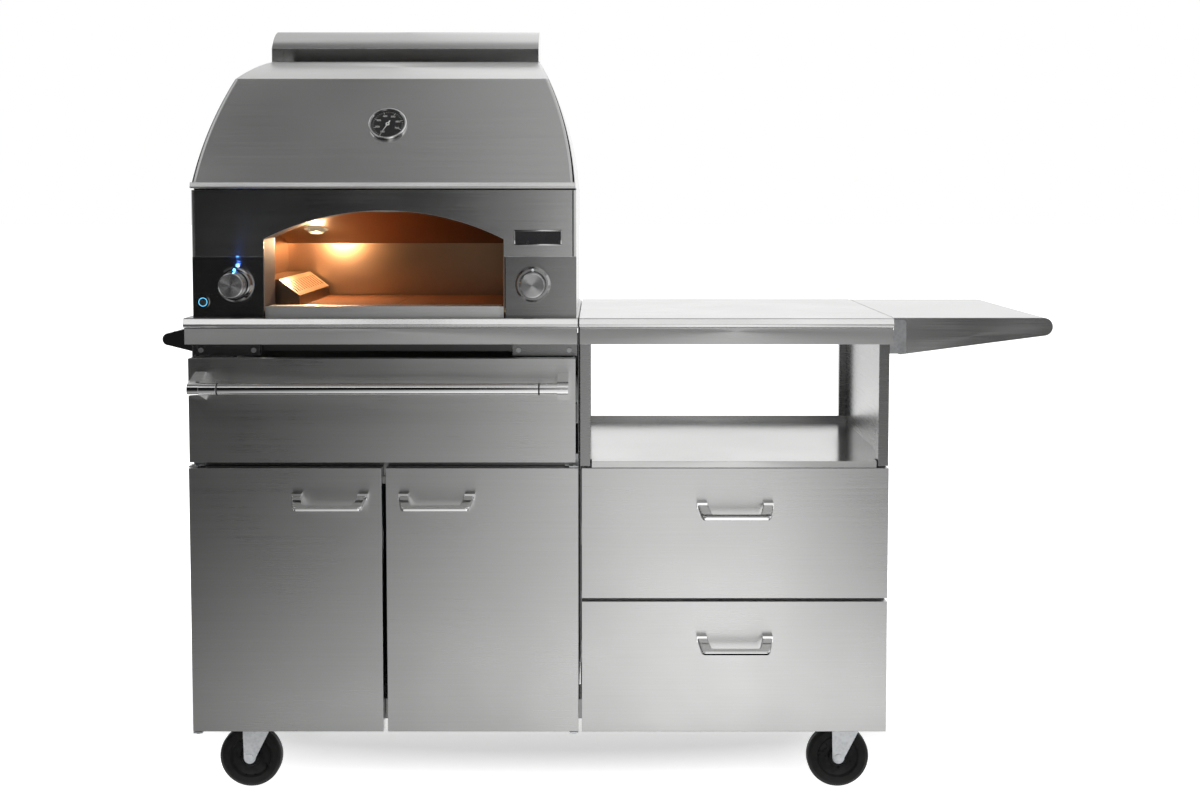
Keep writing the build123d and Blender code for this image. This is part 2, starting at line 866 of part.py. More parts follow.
# Each caster's fork with its axle, and its wheel
leg_inner = hub_length / 2 + fork_side_gap
leg_outer = leg_inner + fork_leg
for spot, (x, y) in caster_spots.items():
    axle = (x - caster_trail, y, wheel_radius)
    with BuildPart() as fork:
        for side in (-1, 1):
            face = Plane((axle[0], y + side * leg_inner, 0), x_dir=(1, 0, 0), z_dir=(0, -1, 0))
            with BuildSketch(face) as leg:
                Polygon(
                    (-fork_back, fork_roof + fork_plate),
                    (-fork_toe, wheel_radius),
                    (fork_toe, wheel_radius),
                    (fork_front, fork_roof + fork_plate),
                    align=None,
                )
                with Locations((0, wheel_radius)):
                    Circle(fork_toe)
                    Circle(axle_radius + bolt_gap, mode=Mode.SUBTRACT)
            extrude(to_extrude=leg.sketch, amount=-side * fork_leg)
        block(
            axle[0] - fork_back,
            axle[0] + fork_front,
            y - leg_outer,
            y + leg_outer,
            fork_roof,
            fork_roof + fork_plate,
        )
        rod((x, y, fork_roof), (0, 0, 1), fork_crown_radius, fork_plate + fork_crown)
        hole = kingpin_radius + running_gap
        rod((x, y, fork_roof - 1), (0, 0, 1), hole, fork_plate + fork_crown + 2, Mode.SUBTRACT)
        rod((axle[0], y - leg_outer, wheel_radius), (0, 1, 0), axle_radius, 2 * leg_outer)
        for side in (-1, 1):
            rod((axle[0], y + side * leg_outer, wheel_radius), (0, side, 0), axle_head_radius, axle_head)
    fork.part.label = f"caster_fork_{spot}"
    export_step(fork.part, f"parts/caster_fork_{spot}.step")
    with BuildPart() as wheel:
        with BuildSketch(Plane(axle, x_dir=(0, 1, 0), z_dir=(1, 0, 0))) as half_wheel:
            with BuildLine():
                Polyline(
                    (-hub_length / 2, axle_radius + running_gap),
                    (-hub_length / 2, hub_radius),
                    (-web_half, hub_radius + web_step),
                    (-web_half, rim_radius - web_step),
                    (-wheel_width / 2 + 1, rim_radius),
                    (-wheel_width / 2, wheel_radius - tread_round),
                    (-wheel_width / 2 + tread_round * 0.4, wheel_radius - tread_round * 0.3),
                    (-wheel_width / 2 + tread_round, wheel_radius),
                    (wheel_width / 2 - tread_round, wheel_radius),
                    (wheel_width / 2 - tread_round * 0.4, wheel_radius - tread_round * 0.3),
                    (wheel_width / 2, wheel_radius - tread_round),
                    (wheel_width / 2 - 1, rim_radius),
                    (web_half, rim_radius - web_step),
                    (web_half, hub_radius + web_step),
                    (hub_length / 2, hub_radius),
                    (hub_length / 2, axle_radius + running_gap),
                    close=True,
                )
            make_face()
        revolve(axis=Axis(axle, (0, 1, 0)))
    wheel.part.label = f"caster_wheel_{spot}"
    export_step(wheel.part, f"parts/caster_wheel_{spot}.step")

# Push handle on the left wall
push_wall = Plane((wall_left, (y_case + y_back) / 2, push_bar_height), x_dir=(0, -1, 0), z_dir=(-1, 0, 0))
with BuildPart() as push_handle:
    bar_handle(push_wall, push_bar_length, push_handle_reach + side_inset)
push_handle.part.label = "push_handle"
export_step(push_handle.part, "parts/push_handle.step")

# Wide drawer under the left worktop
wide_left = x_left + wide_edge_left
wide_right = x_mid - wide_edge_right
with BuildPart() as wide_drawer_front:
    front(wide_left, wide_right, wide_front_depth, wide_front_bottom, wide_front_top)
wide_drawer_front.part.label = "wide_drawer_front"
export_step(wide_drawer_front.part, "parts/wide_drawer_front.step")


def drawer_box(face_left, face_right, depth, bottom, top):
    """An open-topped box behind a front, with a rail on each side that rests in a slide channel."""
    y0 = y_door + depth
    x0, x1 = face_left + slide_space, face_right - slide_space
    seat = (bottom + top) / 2 - slide_height / 2 + sheet
    block(x0, x1, y0, y0 + box_depth, bottom, top)
    block(
        x0 + sheet,
        x1 - sheet,
        y0 + sheet,
        y0 + box_depth - sheet,
        bottom + sheet,
        top + 1,
        mode=Mode.SUBTRACT,
    )
    for a, b in ((face_left + sheet + 1, x0), (x1, face_right - sheet - 1)):
        block(a, b, y_slide, y_slide + slide_length, seat, seat + rail_height)


with BuildPart() as wide_drawer_tray:
    drawer_box(wall_left + sheet, x_mid - sheet, wide_front_depth, wide_tray_bottom, wide_tray_top)
wide_drawer_tray.part.label = "wide_drawer_tray"
export_step(wide_drawer_tray.part, "parts/wide_drawer_tray.step")

wide_wall = Plane(((wide_left + wide_right) / 2, y_door, bar_height), x_dir=(1, 0, 0), z_dir=(0, -1, 0))
with BuildPart() as wide_drawer_handle:
    bar_handle(wide_wall, wide_right - wide_left - 2 * bar_inset, bar_reach)
wide_drawer_handle.part.label = "wide_drawer_handle"
export_step(wide_drawer_handle.part, "parts/wide_drawer_handle.step")

# The two drawers of the right cabinet
drawer_left = x_bay + drawer_edge
drawer_right = x_right - drawer_edge
drawer_middle = (drawer_left + drawer_right) / 2
drawers = {
    "upper": (upper_front_bottom, door_top, upper_box_bottom, upper_box_top),
    "lower": (door_bottom, lower_front_top, lower_box_bottom, lower_box_top),
}
for name, (z0, z1, low, high) in drawers.items():
    with BuildPart() as drawer_front:
        front(drawer_left, drawer_right, front_depth, z0, z1)
    drawer_front.part.label = f"{name}_drawer_front"
    export_step(drawer_front.part, f"parts/{name}_drawer_front.step")
    with BuildPart() as box:
        drawer_box(x_bay + sheet, wall_right - sheet, front_depth, low, high)
    box.part.label = f"{name}_drawer_box"
    export_step(box.part, f"parts/{name}_drawer_box.step")
    with BuildPart() as drawer_pull:
        pull(drawer_middle, z1 - drawer_pull_drop)
    drawer_pull.part.label = f"{name}_drawer_pull"
    export_step(drawer_pull.part, f"parts/{name}_drawer_pull.step")

# Doors: (outer edge, inner edge, pivot, way to the free edge)
doors = {
    "left": (x_left + door_edge, x_doors - door_gap / 2, pivots[0], 1),
    "right": (x_mid - door_edge, x_doors + door_gap / 2, pivots[1], -1),
}
for name, (outer, inner, pivot, way) in doors.items():
    with BuildPart() as door:
        front(min(outer, inner), max(outer, inner), front_depth, door_bottom, door_top)
        b0, b1 = sorted((outer, outer + way * pivot_block))
        for z0, z1 in ((door_top - pivot_depth, door_top), (door_bottom, door_bottom + pivot_depth)):
            block(b0, b1, y_door, y_door + front_depth, z0, z1)
            hole = pin_radius + running_gap
            rod((pivot, y_pivot, z0 - 1), (0, 0, 1), hole, pivot_depth + 2, Mode.SUBTRACT)
    door.part.label = f"{name}_door"
    export_step(door.part, f"parts/{name}_door.step")
    with BuildPart() as door_pull:
        pull(inner - way * (pull_inset + pull_width / 2), door_top - door_pull_drop)
    door_pull.part.label = f"{name}_door_pull"
    export_step(door_pull.part, f"parts/{name}_door_pull.step")

# Side shelf: folded top, tapered aprons and a round nose, open underneath
x_shelf_end = x_right + side_shelf_reach
shelf_root_bottom = counter_height - shelf_root_height
z_nose = counter_height - shelf_nose_radius


def shelf_outline(inset):
    """The shelf seen from the front, drawn in by a sheet thickness for its inside."""
    x0, x1 = x_shelf_root, x_shelf_end - shelf_nose_radius
    r = shelf_nose_radius - inset
    s = shelf_pivot_inset
    with BuildLine() as outline:
        Polyline((x0, z_shelf_pivot), (x0, counter_height - inset), (x1, counter_height - inset))
        ThreePointArc((x1, z_nose + r), (x1 + r, z_nose), (x1, z_nose - r))
        Line((x1, z_nose - r), (x0 + s, shelf_root_bottom))
        ThreePointArc(
            (x0 + s, shelf_root_bottom),
            (x0 + s - s / sqrt(2), z_shelf_pivot - s / sqrt(2)),
            (x0, z_shelf_pivot),
        )
    make_face(outline.edges())


with BuildPart() as side_shelf:
    with BuildSketch(Plane((0, y_shelf, 0), x_dir=(1, 0, 0), z_dir=(0, -1, 0))) as whole:
        shelf_outline(0)
    extrude(to_extrude=whole.sketch, amount=-shelf_depth)
    with BuildSketch(Plane((0, y_shelf + sheet, 0), x_dir=(1, 0, 0), z_dir=(0, -1, 0))) as hollow:
        shelf_outline(sheet)
        with BuildLine() as below:
            Polyline(
                (x_shelf_root, counter_height - shelf_root_height / 2),
                (x_shelf_end - 2 * shelf_nose_radius, z_nose - shelf_nose_radius / 2),
                (x_shelf_end - 2 * shelf_nose_radius, shelf_root_bottom - 1),
                (x_shelf_root - 1, shelf_root_bottom - 1),
                (x_shelf_root - 1, counter_height - shelf_root_height / 2),
                close=True,
            )
        make_face(below.edges())
    extrude(to_extrude=hollow.sketch, amount=-(shelf_depth - 2 * sheet), mode=Mode.SUBTRACT)
    for y, way in ((y_shelf, 1), (y_shelf_back, -1)):
        at = (x_shelf_pivot, y, z_shelf_pivot)
        rod(at, (0, way, 0), shelf_boss, shelf_boss_length)
        rod(at, (0, way, 0), shelf_pin_radius + running_gap, shelf_boss_length + 1, Mode.SUBTRACT)
side_shelf.part.label = "side_shelf"
export_step(side_shelf.part, "parts/side_shelf.step")

# Oven casing: two sides and a back that stand on the worktop
with BuildPart() as oven_casing:
    for x in (x_oven - oven_half, x_oven + oven_half - sheet):
        block(
            x,
            x + sheet,
            y_fascia + fascia_return,
            y_oven_back - sheet - seam,
            counter_height,
            hood_bottom,
        )
    block(
        x_oven - oven_half, x_oven + oven_half, y_oven_back - sheet, y_oven_back, counter_height, hood_bottom
    )
    rod(
        (x_oven + inlet_offset, y_oven_back - 2 * sheet, pipe_height),
        (0, 1, 0),
        inlet_pipe + 1,
        3 * sheet,
        Mode.SUBTRACT,
    )
oven_casing.part.label = "oven_casing"
export_step(oven_casing.part, "parts/oven_casing.step")

# Arched fascia over the mouth
with BuildPart() as oven_fascia:
    for inset, mode in ((0, Mode.ADD), (sheet, Mode.SUBTRACT)):
        with BuildSketch(Plane((x_oven, y_fascia + inset, fascia_bottom + inset))) as outline:
            Rectangle(oven_width - 2 * inset, fascia_return, align=(Align.CENTER, Align.MIN))
            fillet(outline.vertices().group_by(Axis.Y)[0], fascia_round - inset)
        extrude(to_extrude=outline.sketch, amount=fascia_top - fascia_bottom - 2 * inset, mode=mode)
    with BuildSketch(oven_plane(y_fascia - 1)) as mouth:
        arch(mouth_half, mouth_spring, mouth_crown, fascia_bottom - 1)
    extrude(to_extrude=mouth.sketch, amount=-(sheet + 1), mode=Mode.SUBTRACT)
    block(
        x_oven - mouth_half - 2 * sheet,
        x_oven + mouth_half + 2 * sheet,
        y_fascia + sheet,
        y_fascia + fascia_return + 1,
        fascia_bottom - 1,
        fascia_bottom + sheet + 1,
        mode=Mode.SUBTRACT,
    )
oven_fascia.part.label = "oven_fascia"
export_step(oven_fascia.part, "parts/oven_fascia.step")

# Control panels on both sides of the mouth, a little behind the fascia
with BuildPart() as control_panels:
    for way in (-1, 1):
        x0, x1 = sorted((x_oven + way * panel_half, x_oven + way * oven_half))
        block(x0, x1, y_panel, y_fascia + fascia_return, counter_height, fascia_bottom)
        block(
            x0 + sheet,
            x1 - sheet,
            y_panel + sheet,
            y_fascia + fascia_return + 1,
            counter_height + sheet,
            fascia_bottom - sheet,
            mode=Mode.SUBTRACT,
        )
        hole = (x_oven + way * knob_offset, y_panel - 1, knob_height)
        rod(hole, (0, 1, 0), stem_hole, sheet + 2, Mode.SUBTRACT)
        rod(
            (x_oven + way * (panel_half - 1), y_fascia + pipe_setback, pipe_height),
            (way, 0, 0),
            pipe_radius + 1,
            sheet + 2,
            Mode.SUBTRACT,
        )
    rod(
        (x_oven - button_offset, y_panel - 1, button_height),
        (0, 1, 0),
        button_stem + running_gap,
        sheet + 2,
        Mode.SUBTRACT,
    )
control_panels.part.label = "control_panels"
export_step(control_panels.part, "parts/control_panels.step")

# Mouth liner: jambs and arch from the fascia back to the cavity
with BuildPart() as mouth_liner:
    with BuildSketch(oven_plane(y_fascia + sheet)) as opening:
        arch(mouth_half, mouth_spring, mouth_crown, stone_top - 2)
    with BuildSketch(oven_plane(y_fascia + sheet)) as outer_jambs:
        arch(mouth_half + sheet, mouth_spring, mouth_crown + sheet, stone_top)
    extrude(to_extrude=outer_jambs.sketch, amount=-(mouth_depth - sheet))
    extrude(to_extrude=opening.sketch, amount=-(mouth_depth - sheet), mode=Mode.SUBTRACT)
    rod(
        (x_oven - panel_half, y_fascia + pipe_setback, pipe_height),
        (1, 0, 0),
        pipe_radius + 1,
        2 * panel_half,
        Mode.SUBTRACT,
    )
mouth_liner.part.label = "mouth_liner"
export_step(mouth_liner.part, "parts/mouth_liner.step")

# Front sill: a folded channel across the foot of the mouth
with BuildPart() as front_sill:
    block(
        x_oven - sill_half,
        x_oven + sill_half,
        y_fascia - sill_proud,
        y_fascia - sill_proud + sill_depth,
        counter_height,
        counter_height + sill_height,
    )
    block(
        x_oven - sill_half - 1,
        x_oven + sill_half + 1,
        y_fascia - sill_proud + sheet,
        y_fascia - sill_proud + sill_depth - sheet,
        counter_height - 1,
        counter_height + sill_height - sheet,
        mode=Mode.SUBTRACT,
    )
    block(
        x_oven - mouth_half + seam,
        x_oven + mouth_half - seam,
        y_fascia + sill_cover,
        y_fascia + sill_cover + sheet,
        counter_height,
        counter_height + sill_height - sheet / 2,
    )
front_sill.part.label = "front_sill"
export_step(front_sill.part, "parts/front_sill.step")


def hood_form(inset, below):
    """The hood as a full block: a leaning flat front, barrel sides and a gently crowned roof."""
    lip = hood_bottom + hood_lip
    shoulder = hood_bottom + hood_front_rise
    lean = hypot(hood_front_run + hood_nose, hood_front_rise - hood_lip) / (hood_front_rise - hood_lip)
    back = oven_depth - inset
    half = oven_half - inset
    with BuildPart() as form:
        with BuildSketch(side_plane(x_oven)) as profile:
            with BuildLine() as outline:
                Polyline(
                    (back, hood_bottom + hood_roof_rise - inset),
                    (back, hood_bottom - below),
                    (inset - hood_nose, hood_bottom - below),
                    (inset - hood_nose, lip),
                    (hood_front_run + inset * lean, shoulder - inset),
                )
                ThreePointArc(
                    (hood_front_run + inset * lean, shoulder - inset),
                    (hood_roof_mid_run, hood_bottom + hood_roof_mid_rise - inset),
                    (back, hood_bottom + hood_roof_rise - inset),
                )
            make_face(outline.edges())
        extrude(to_extrude=profile.sketch, amount=oven_width, both=True)
        heights = (hood_bottom - below, shoulder, cowl_top)
        low, mid, high = (
            half - hood_side_radius + sqrt(hood_side_radius**2 - (z - hood_side_centre) ** 2) for z in heights
        )
        with BuildSketch(oven_plane(y_fascia)) as section:
            with BuildLine() as outline:
                Line((-high, heights[2]), (high, heights[2]))
                ThreePointArc((high, heights[2]), (mid, heights[1]), (low, heights[0]))
                Line((low, heights[0]), (-low, heights[0]))
                ThreePointArc((-low, heights[0]), (-mid, heights[1]), (-high, heights[2]))
            make_face(outline.edges())
        extrude(to_extrude=section.sketch, amount=2 * oven_depth, both=True, mode=Mode.INTERSECT)
    return form


hood_block = hood_form(0, 0)
hood_core = hood_form(sheet, 1)

# Gauge plane on the leaning front of the hood
gauge_rise = gauge_height - hood_bottom - hood_lip
gauge_run = (hood_front_run + hood_nose) * gauge_rise / (hood_front_rise - hood_lip) - hood_nose
gauge_plane = Plane(
    (x_oven, y_fascia + gauge_run, gauge_height),
    x_dir=(1, 0, 0),
    z_dir=(0, -(hood_front_rise - hood_lip), hood_front_run + hood_nose),
)


def on_gauge(radius, z0, z1, mode=Mode.ADD):
    """A disc in front of the gauge plane, between two heights."""
    rod(gauge_plane.from_local_coords((0, 0, z0)), gauge_plane.z_dir, radius, z1 - z0, mode)


with BuildPart() as hood_shell:
    add(hood_block.part)
    rims = hood_shell.edges().filter_by(
        lambda e: (e @ 0.5).Z > hood_bottom + hood_lip + 1 and (e @ 0.5).Y < y_oven_back - 1
    )
    fillet(rims, hood_edge_radius)
    add(hood_core.part, mode=Mode.SUBTRACT)
    block(
        x_oven - flue_half,
        x_oven + flue_half,
        y_fascia + cowl_front + flue_setback,
        y_fascia + cowl_front + flue_setback + flue_width,
        hood_bottom + hood_front_rise,
        cowl_top,
        mode=Mode.SUBTRACT,
    )
    on_gauge(gauge_probe + 1, -4 * sheet, 2 * sheet, Mode.SUBTRACT)
    with BuildSketch(side_plane(x_oven)) as hem:
        Polygon(
            (-hood_nose - hem_foot, hood_bottom),
            (-hood_nose - hem_edge, hood_bottom + hem_height),
            (sheet / 2 - hood_nose, hood_bottom + hem_height),
            (sheet / 2 - hood_nose, hood_bottom),
            align=None,
        )
        fillet(hem.vertices().sort_by(Axis.X)[0], hem_round)
    extrude(to_extrude=hem.sketch, amount=oven_half - sheet, both=True)
hood_shell.part.label = "hood_shell"
export_step(hood_shell.part, "parts/hood_shell.step")


def cowl_outline(inset):
    """The cowl's side view: a curved cap that slopes up from the front lip, and a back."""
    f, b, t = cowl_front + inset, cowl_back - inset, cowl_top - inset
    foot = hood_bottom + hood_front_rise
    with BuildLine() as outline:
        Polyline((f, cowl_lip), (f, foot), (b, foot), (b, t - cowl_corner), (b - cowl_corner, t))
        Line((b - cowl_corner, t), (f + cowl_crown_run, t))
        TangentArc((f + cowl_crown_run, t), (f, cowl_lip), tangent=(-1, 0))
    make_face(outline.edges())


# Chimney cowl: open to the front under its curved cap, trimmed to the roof
cowl_left = x_oven - cowl_width / 2
with BuildPart() as chimney_cowl:
    with BuildSketch(side_plane(cowl_left)) as whole_cowl:
        cowl_outline(0)
    extrude(to_extrude=whole_cowl.sketch, amount=cowl_width)
    with BuildSketch(side_plane(cowl_left + sheet)) as inside_cowl:
        cowl_outline(sheet)
    extrude(to_extrude=inside_cowl.sketch, amount=cowl_width - 2 * sheet, mode=Mode.SUBTRACT)
    block(
        cowl_left + sheet,
        cowl_left + cowl_width - sheet,
        y_fascia + cowl_front - 1,
        y_fascia + cowl_front + 2 * sheet,
        hood_bottom,
        cowl_lip - sheet,
        mode=Mode.SUBTRACT,
    )
    add(hood_block.part, mode=Mode.SUBTRACT)
chimney_cowl.part.label = "chimney_cowl"
export_step(chimney_cowl.part, "parts/chimney_cowl.step")

# Burner box: the oven's floor plate, with a well under the hearth that hangs through the worktop
plate_top = counter_height + sheet
y_well = y_fascia + burner_front
y_well_back = y_fascia + burner_back
well_bottom = counter_height - burner_drop
with BuildPart() as burner_box:
    block(
        x_oven - oven_half + sheet,
        x_oven + oven_half - sheet,
        y_fascia + sill_depth,
        y_oven_back - sheet,
        counter_height,
        plate_top,
    )
    block(x_oven - burner_half, x_oven + burner_half, y_well, y_well_back, well_bottom, counter_height)
    block(
        x_oven - burner_half + sheet,
        x_oven + burner_half - sheet,
        y_well + sheet,
        y_well_back - sheet,
        well_bottom + sheet,
        plate_top + 1,
        mode=Mode.SUBTRACT,
    )
    shelf = stone_top - stone_thick
    for x0, x1 in ((-burner_half, -burner_half + ledge), (burner_half - ledge, burner_half)):
        block(x_oven + x0, x_oven + x1, y_well, y_well_back, shelf - sheet, shelf)
    entry = (x_oven - burner_half / 2, y_well - 1, well_bottom + burner_drop / 2)
    rod(entry, (0, 1, 0), burner_hole, sheet + 2, Mode.SUBTRACT)
burner_box.part.label = "burner_box"
export_step(burner_box.part, "parts/burner_box.step")

# Floor burner: a U of tube in the well, flanged to its front wall
z_burner = well_bottom + burner_drop / 2
with BuildPart() as floor_burner:
    with BuildLine(Plane((x_oven, 0, z_burner))) as burner_path:
        FilletPolyline(
            (-burner_half / 2, y_well + sheet),
            (-burner_half / 2, y_well_back - burner_end_gap),
            (burner_half / 2, y_well_back - burner_end_gap),
            (burner_half / 2, y_well + burner_end_gap),
            radius=burner_bend,
        )
    with BuildSketch(Plane(burner_path.line @ 0, z_dir=burner_path.line % 0)) as burner_ring:
        Circle(burner_tube)
        Circle(burner_bore, mode=Mode.SUBTRACT)
    sweep(sections=burner_ring.sketch, path=burner_path.line)
    with BuildSketch(Plane((x_oven - burner_half / 2, y_well + sheet, z_burner), z_dir=(0, 1, 0))) as flange:
        Rectangle(burner_flange, burner_flange)
        Circle(burner_bore, mode=Mode.SUBTRACT)
    extrude(to_extrude=flange.sketch, amount=2 * sheet)
floor_burner.part.label = "floor_burner"
export_step(floor_burner.part, "parts/floor_burner.step")

# Two hearth stones on the well's ledges
with BuildPart() as hearth_stones:
    for x0, x1 in ((-stone_half, -stone_gap / 2), (stone_gap / 2, stone_half)):
        block(
            x_oven + x0,
            x_oven + x1,
            y_well + 2 * sheet,
            y_well_back - 2 * sheet,
            stone_top - stone_thick,
            stone_top,
        )
hearth_stones.part.label = "hearth_stones"
export_step(hearth_stones.part, "parts/hearth_stones.step")

# Cavity walls: two sides, a back, a sloping ceiling with its vent slot, and the inner front
ceiling_slope = (ceiling_front - ceiling_back) / cavity_depth
lamp_y = y_cavity + lamp_run
lamp_z = ceiling_front - lamp_run * ceiling_slope
lamp_plane = Plane((x_oven - lamp_offset, lamp_y, lamp_z), x_dir=(1, 0, 0), z_dir=(0, ceiling_slope, 1))
wall_top = ceiling_front + 2 * sheet
with BuildPart() as cavity_walls:
    for x in (x_oven - cavity_half - sheet, x_oven + cavity_half):
        block(x, x + sheet, y_cavity + seam, y_cavity_back, plate_top, wall_top)
    block(
        x_oven - cavity_half - sheet,
        x_oven + cavity_half + sheet,
        y_cavity_back + seam,
        y_cavity_back + seam + sheet,
        plate_top,
        wall_top,
    )
    side = Plane((x_oven - cavity_half + seam, y_cavity, 0), x_dir=(0, 1, 0), z_dir=(1, 0, 0))
    with BuildSketch(side) as roof:
        Polygon(
            (seam, ceiling_front - seam * ceiling_slope),
            (cavity_depth, ceiling_back),
            (cavity_depth, ceiling_back + sheet),
            (seam, ceiling_front + sheet - seam * ceiling_slope),
            align=None,
        )
    extrude(to_extrude=roof.sketch, amount=2 * (cavity_half - seam))
    block(
        x_oven - vent_half,
        x_oven + vent_half,
        y_cavity + vent_start,
        y_cavity + vent_start + vent_width,
        ceiling_back,
        wall_top,
        mode=Mode.SUBTRACT,
    )
    rod(lamp_plane.origin, lamp_plane.z_dir, lamp_radius + lamp_hole_gap, lamp_cut, Mode.SUBTRACT)
    rod(lamp_plane.origin, -lamp_plane.z_dir, lamp_radius + lamp_hole_gap, lamp_cut, Mode.SUBTRACT)
    with BuildSketch(oven_plane(y_fascia + mouth_depth)) as inner_front:
        with Locations((0, (plate_top + wall_top) / 2)):
            Rectangle(2 * (cavity_half + sheet), wall_top - plate_top)
    extrude(to_extrude=inner_front.sketch, amount=-cavity_sheet)
    with BuildSketch(oven_plane(y_fascia + mouth_depth - 1)) as doorway:
        arch(mouth_half, mouth_spring, mouth_crown, counter_height)
    extrude(to_extrude=doorway.sketch, amount=-(cavity_sheet + 1 + seam / 2), mode=Mode.SUBTRACT)
    block(
        x_oven - stone_half - 1,
        x_oven + stone_half + 1,
        y_fascia + mouth_depth - 1,
        y_cavity + seam / 2,
        counter_height,
        stone_top + pass_gap,
        mode=Mode.SUBTRACT,
    )
cavity_walls.part.label = "cavity_walls"
export_step(cavity_walls.part, "parts/cavity_walls.step")

# Insulation between the cavity and the casing
with BuildPart() as insulation:
    block(
        x_oven - oven_half + sheet,
        x_oven + oven_half - sheet,
        y_cavity + seam,
        y_oven_back - sheet,
        plate_top,
        hood_bottom,
    )
    block(
        x_oven - cavity_half - sheet,
        x_oven + cavity_half + sheet,
        y_cavity,
        y_cavity_back + seam + sheet,
        plate_top - 1,
        ceiling_back,
        mode=Mode.SUBTRACT,
    )
    block(
        x_oven - cavity_half - sheet,
        x_oven + cavity_half + sheet,
        y_cavity_back,
        y_cavity_back + seam + sheet,
        ceiling_back - 1,
        wall_top,
        mode=Mode.SUBTRACT,
    )
    for x in (x_oven - cavity_half - sheet, x_oven + cavity_half):
        block(x, x + sheet, y_cavity, y_cavity_back + seam, ceiling_back - 1, wall_top, mode=Mode.SUBTRACT)
    side = Plane((x_oven - cavity_half, y_cavity, 0), x_dir=(0, 1, 0), z_dir=(1, 0, 0))
    with BuildSketch(side) as hollow:
        Polygon(
            (0, ceiling_back - 1),
            (cavity_depth + seam, ceiling_back - 1),
            (cavity_depth + seam, ceiling_back + sheet - seam * ceiling_slope),
            (0, ceiling_front + sheet),
            align=None,
        )
    extrude(to_extrude=hollow.sketch, amount=2 * cavity_half, mode=Mode.SUBTRACT)
    block(
        x_oven - vent_half,
        x_oven + vent_half,
        y_cavity + vent_start,
        y_cavity + vent_start + vent_width,
        ceiling_back,
        hood_bottom + 1,
        mode=Mode.SUBTRACT,
    )
    rod(lamp_plane.origin, lamp_plane.z_dir, lamp_flange, lamp_body + 10, Mode.SUBTRACT)
    block(
        x_oven + inlet_offset - 2 * inlet_pipe,
        x_oven + oven_half - sheet,
        y_cavity,
        y_oven_back,
        plate_top - 1,
        pipe_height + 2 * inlet_pipe,
        mode=Mode.SUBTRACT,
    )
insulation.part.label = "insulation"
export_step(insulation.part, "parts/insulation.step")

# Side burner: a ported housing along the left of the hearth
with BuildPart() as side_burner:
    x_outer = -cavity_half + 2
    x_inner = x_outer + side_burner_width
    x_ridge = x_inner - side_burner_slope
    y_side = y_cavity + side_burner_start
    with BuildSketch(oven_plane(y_side)) as housing:
        Polygon(
            (x_outer, stone_top),
            (x_inner, stone_top),
            (x_inner, stone_top + side_burner_low),
            (x_ridge, stone_top + side_burner_high),
            (x_outer, stone_top + side_burner_high),
            align=None,
        )
    extrude(to_extrude=housing.sketch, amount=-(side_burner_end - side_burner_start))
    with BuildSketch(oven_plane(y_side + sheet)) as chamber:
        Polygon(
            (x_outer + sheet, stone_top - 1),
            (x_inner - sheet, stone_top - 1),
            (x_inner - sheet, stone_top + side_burner_low - sheet),
            (x_ridge - sheet, stone_top + side_burner_high - sheet),
            (x_outer + sheet, stone_top + side_burner_high - sheet),
            align=None,
        )
    extrude(
        to_extrude=chamber.sketch,
        amount=-(side_burner_end - side_burner_start - 2 * sheet),
        mode=Mode.SUBTRACT,
    )
    rise = side_burner_high - side_burner_low
    face = Plane(
        (
            x_oven + x_inner - side_burner_slope / 2,
            y_side + (side_burner_end - side_burner_start) / 2,
            stone_top + (side_burner_low + side_burner_high) / 2,
        ),
        x_dir=(0, 1, 0),
        z_dir=(rise, 0, side_burner_slope),
    )
    with BuildSketch(face) as ports:
        pitch = (side_burner_end - side_burner_start) / (side_burner_ports + 1)
        with GridLocations(pitch, 1, side_burner_ports, 1):
            Rectangle(side_port, hypot(rise, side_burner_slope) * side_port_share)
    extrude(to_extrude=ports.sketch, amount=4 * sheet, both=True, mode=Mode.SUBTRACT)
side_burner.part.label = "side_burner"
export_step(side_burner.part, "parts/side_burner.step")

# Cavity lamp in the ceiling
with BuildPart() as cavity_lamp:
    down = -lamp_plane.z_dir
    rod(lamp_plane.origin, down, lamp_flange, lamp_flange_thick)
    rod(lamp_plane.origin + down * lamp_flange_thick, down, lamp_radius, lamp_dome)
    fillet(cavity_lamp.edges().sort_by(Axis(lamp_plane.origin, down))[-1], lamp_dome * 0.7)
    rod(lamp_plane.origin, lamp_plane.z_dir, lamp_radius, lamp_body)
cavity_lamp.part.label = "cavity_lamp"
export_step(cavity_lamp.part, "parts/cavity_lamp.step")

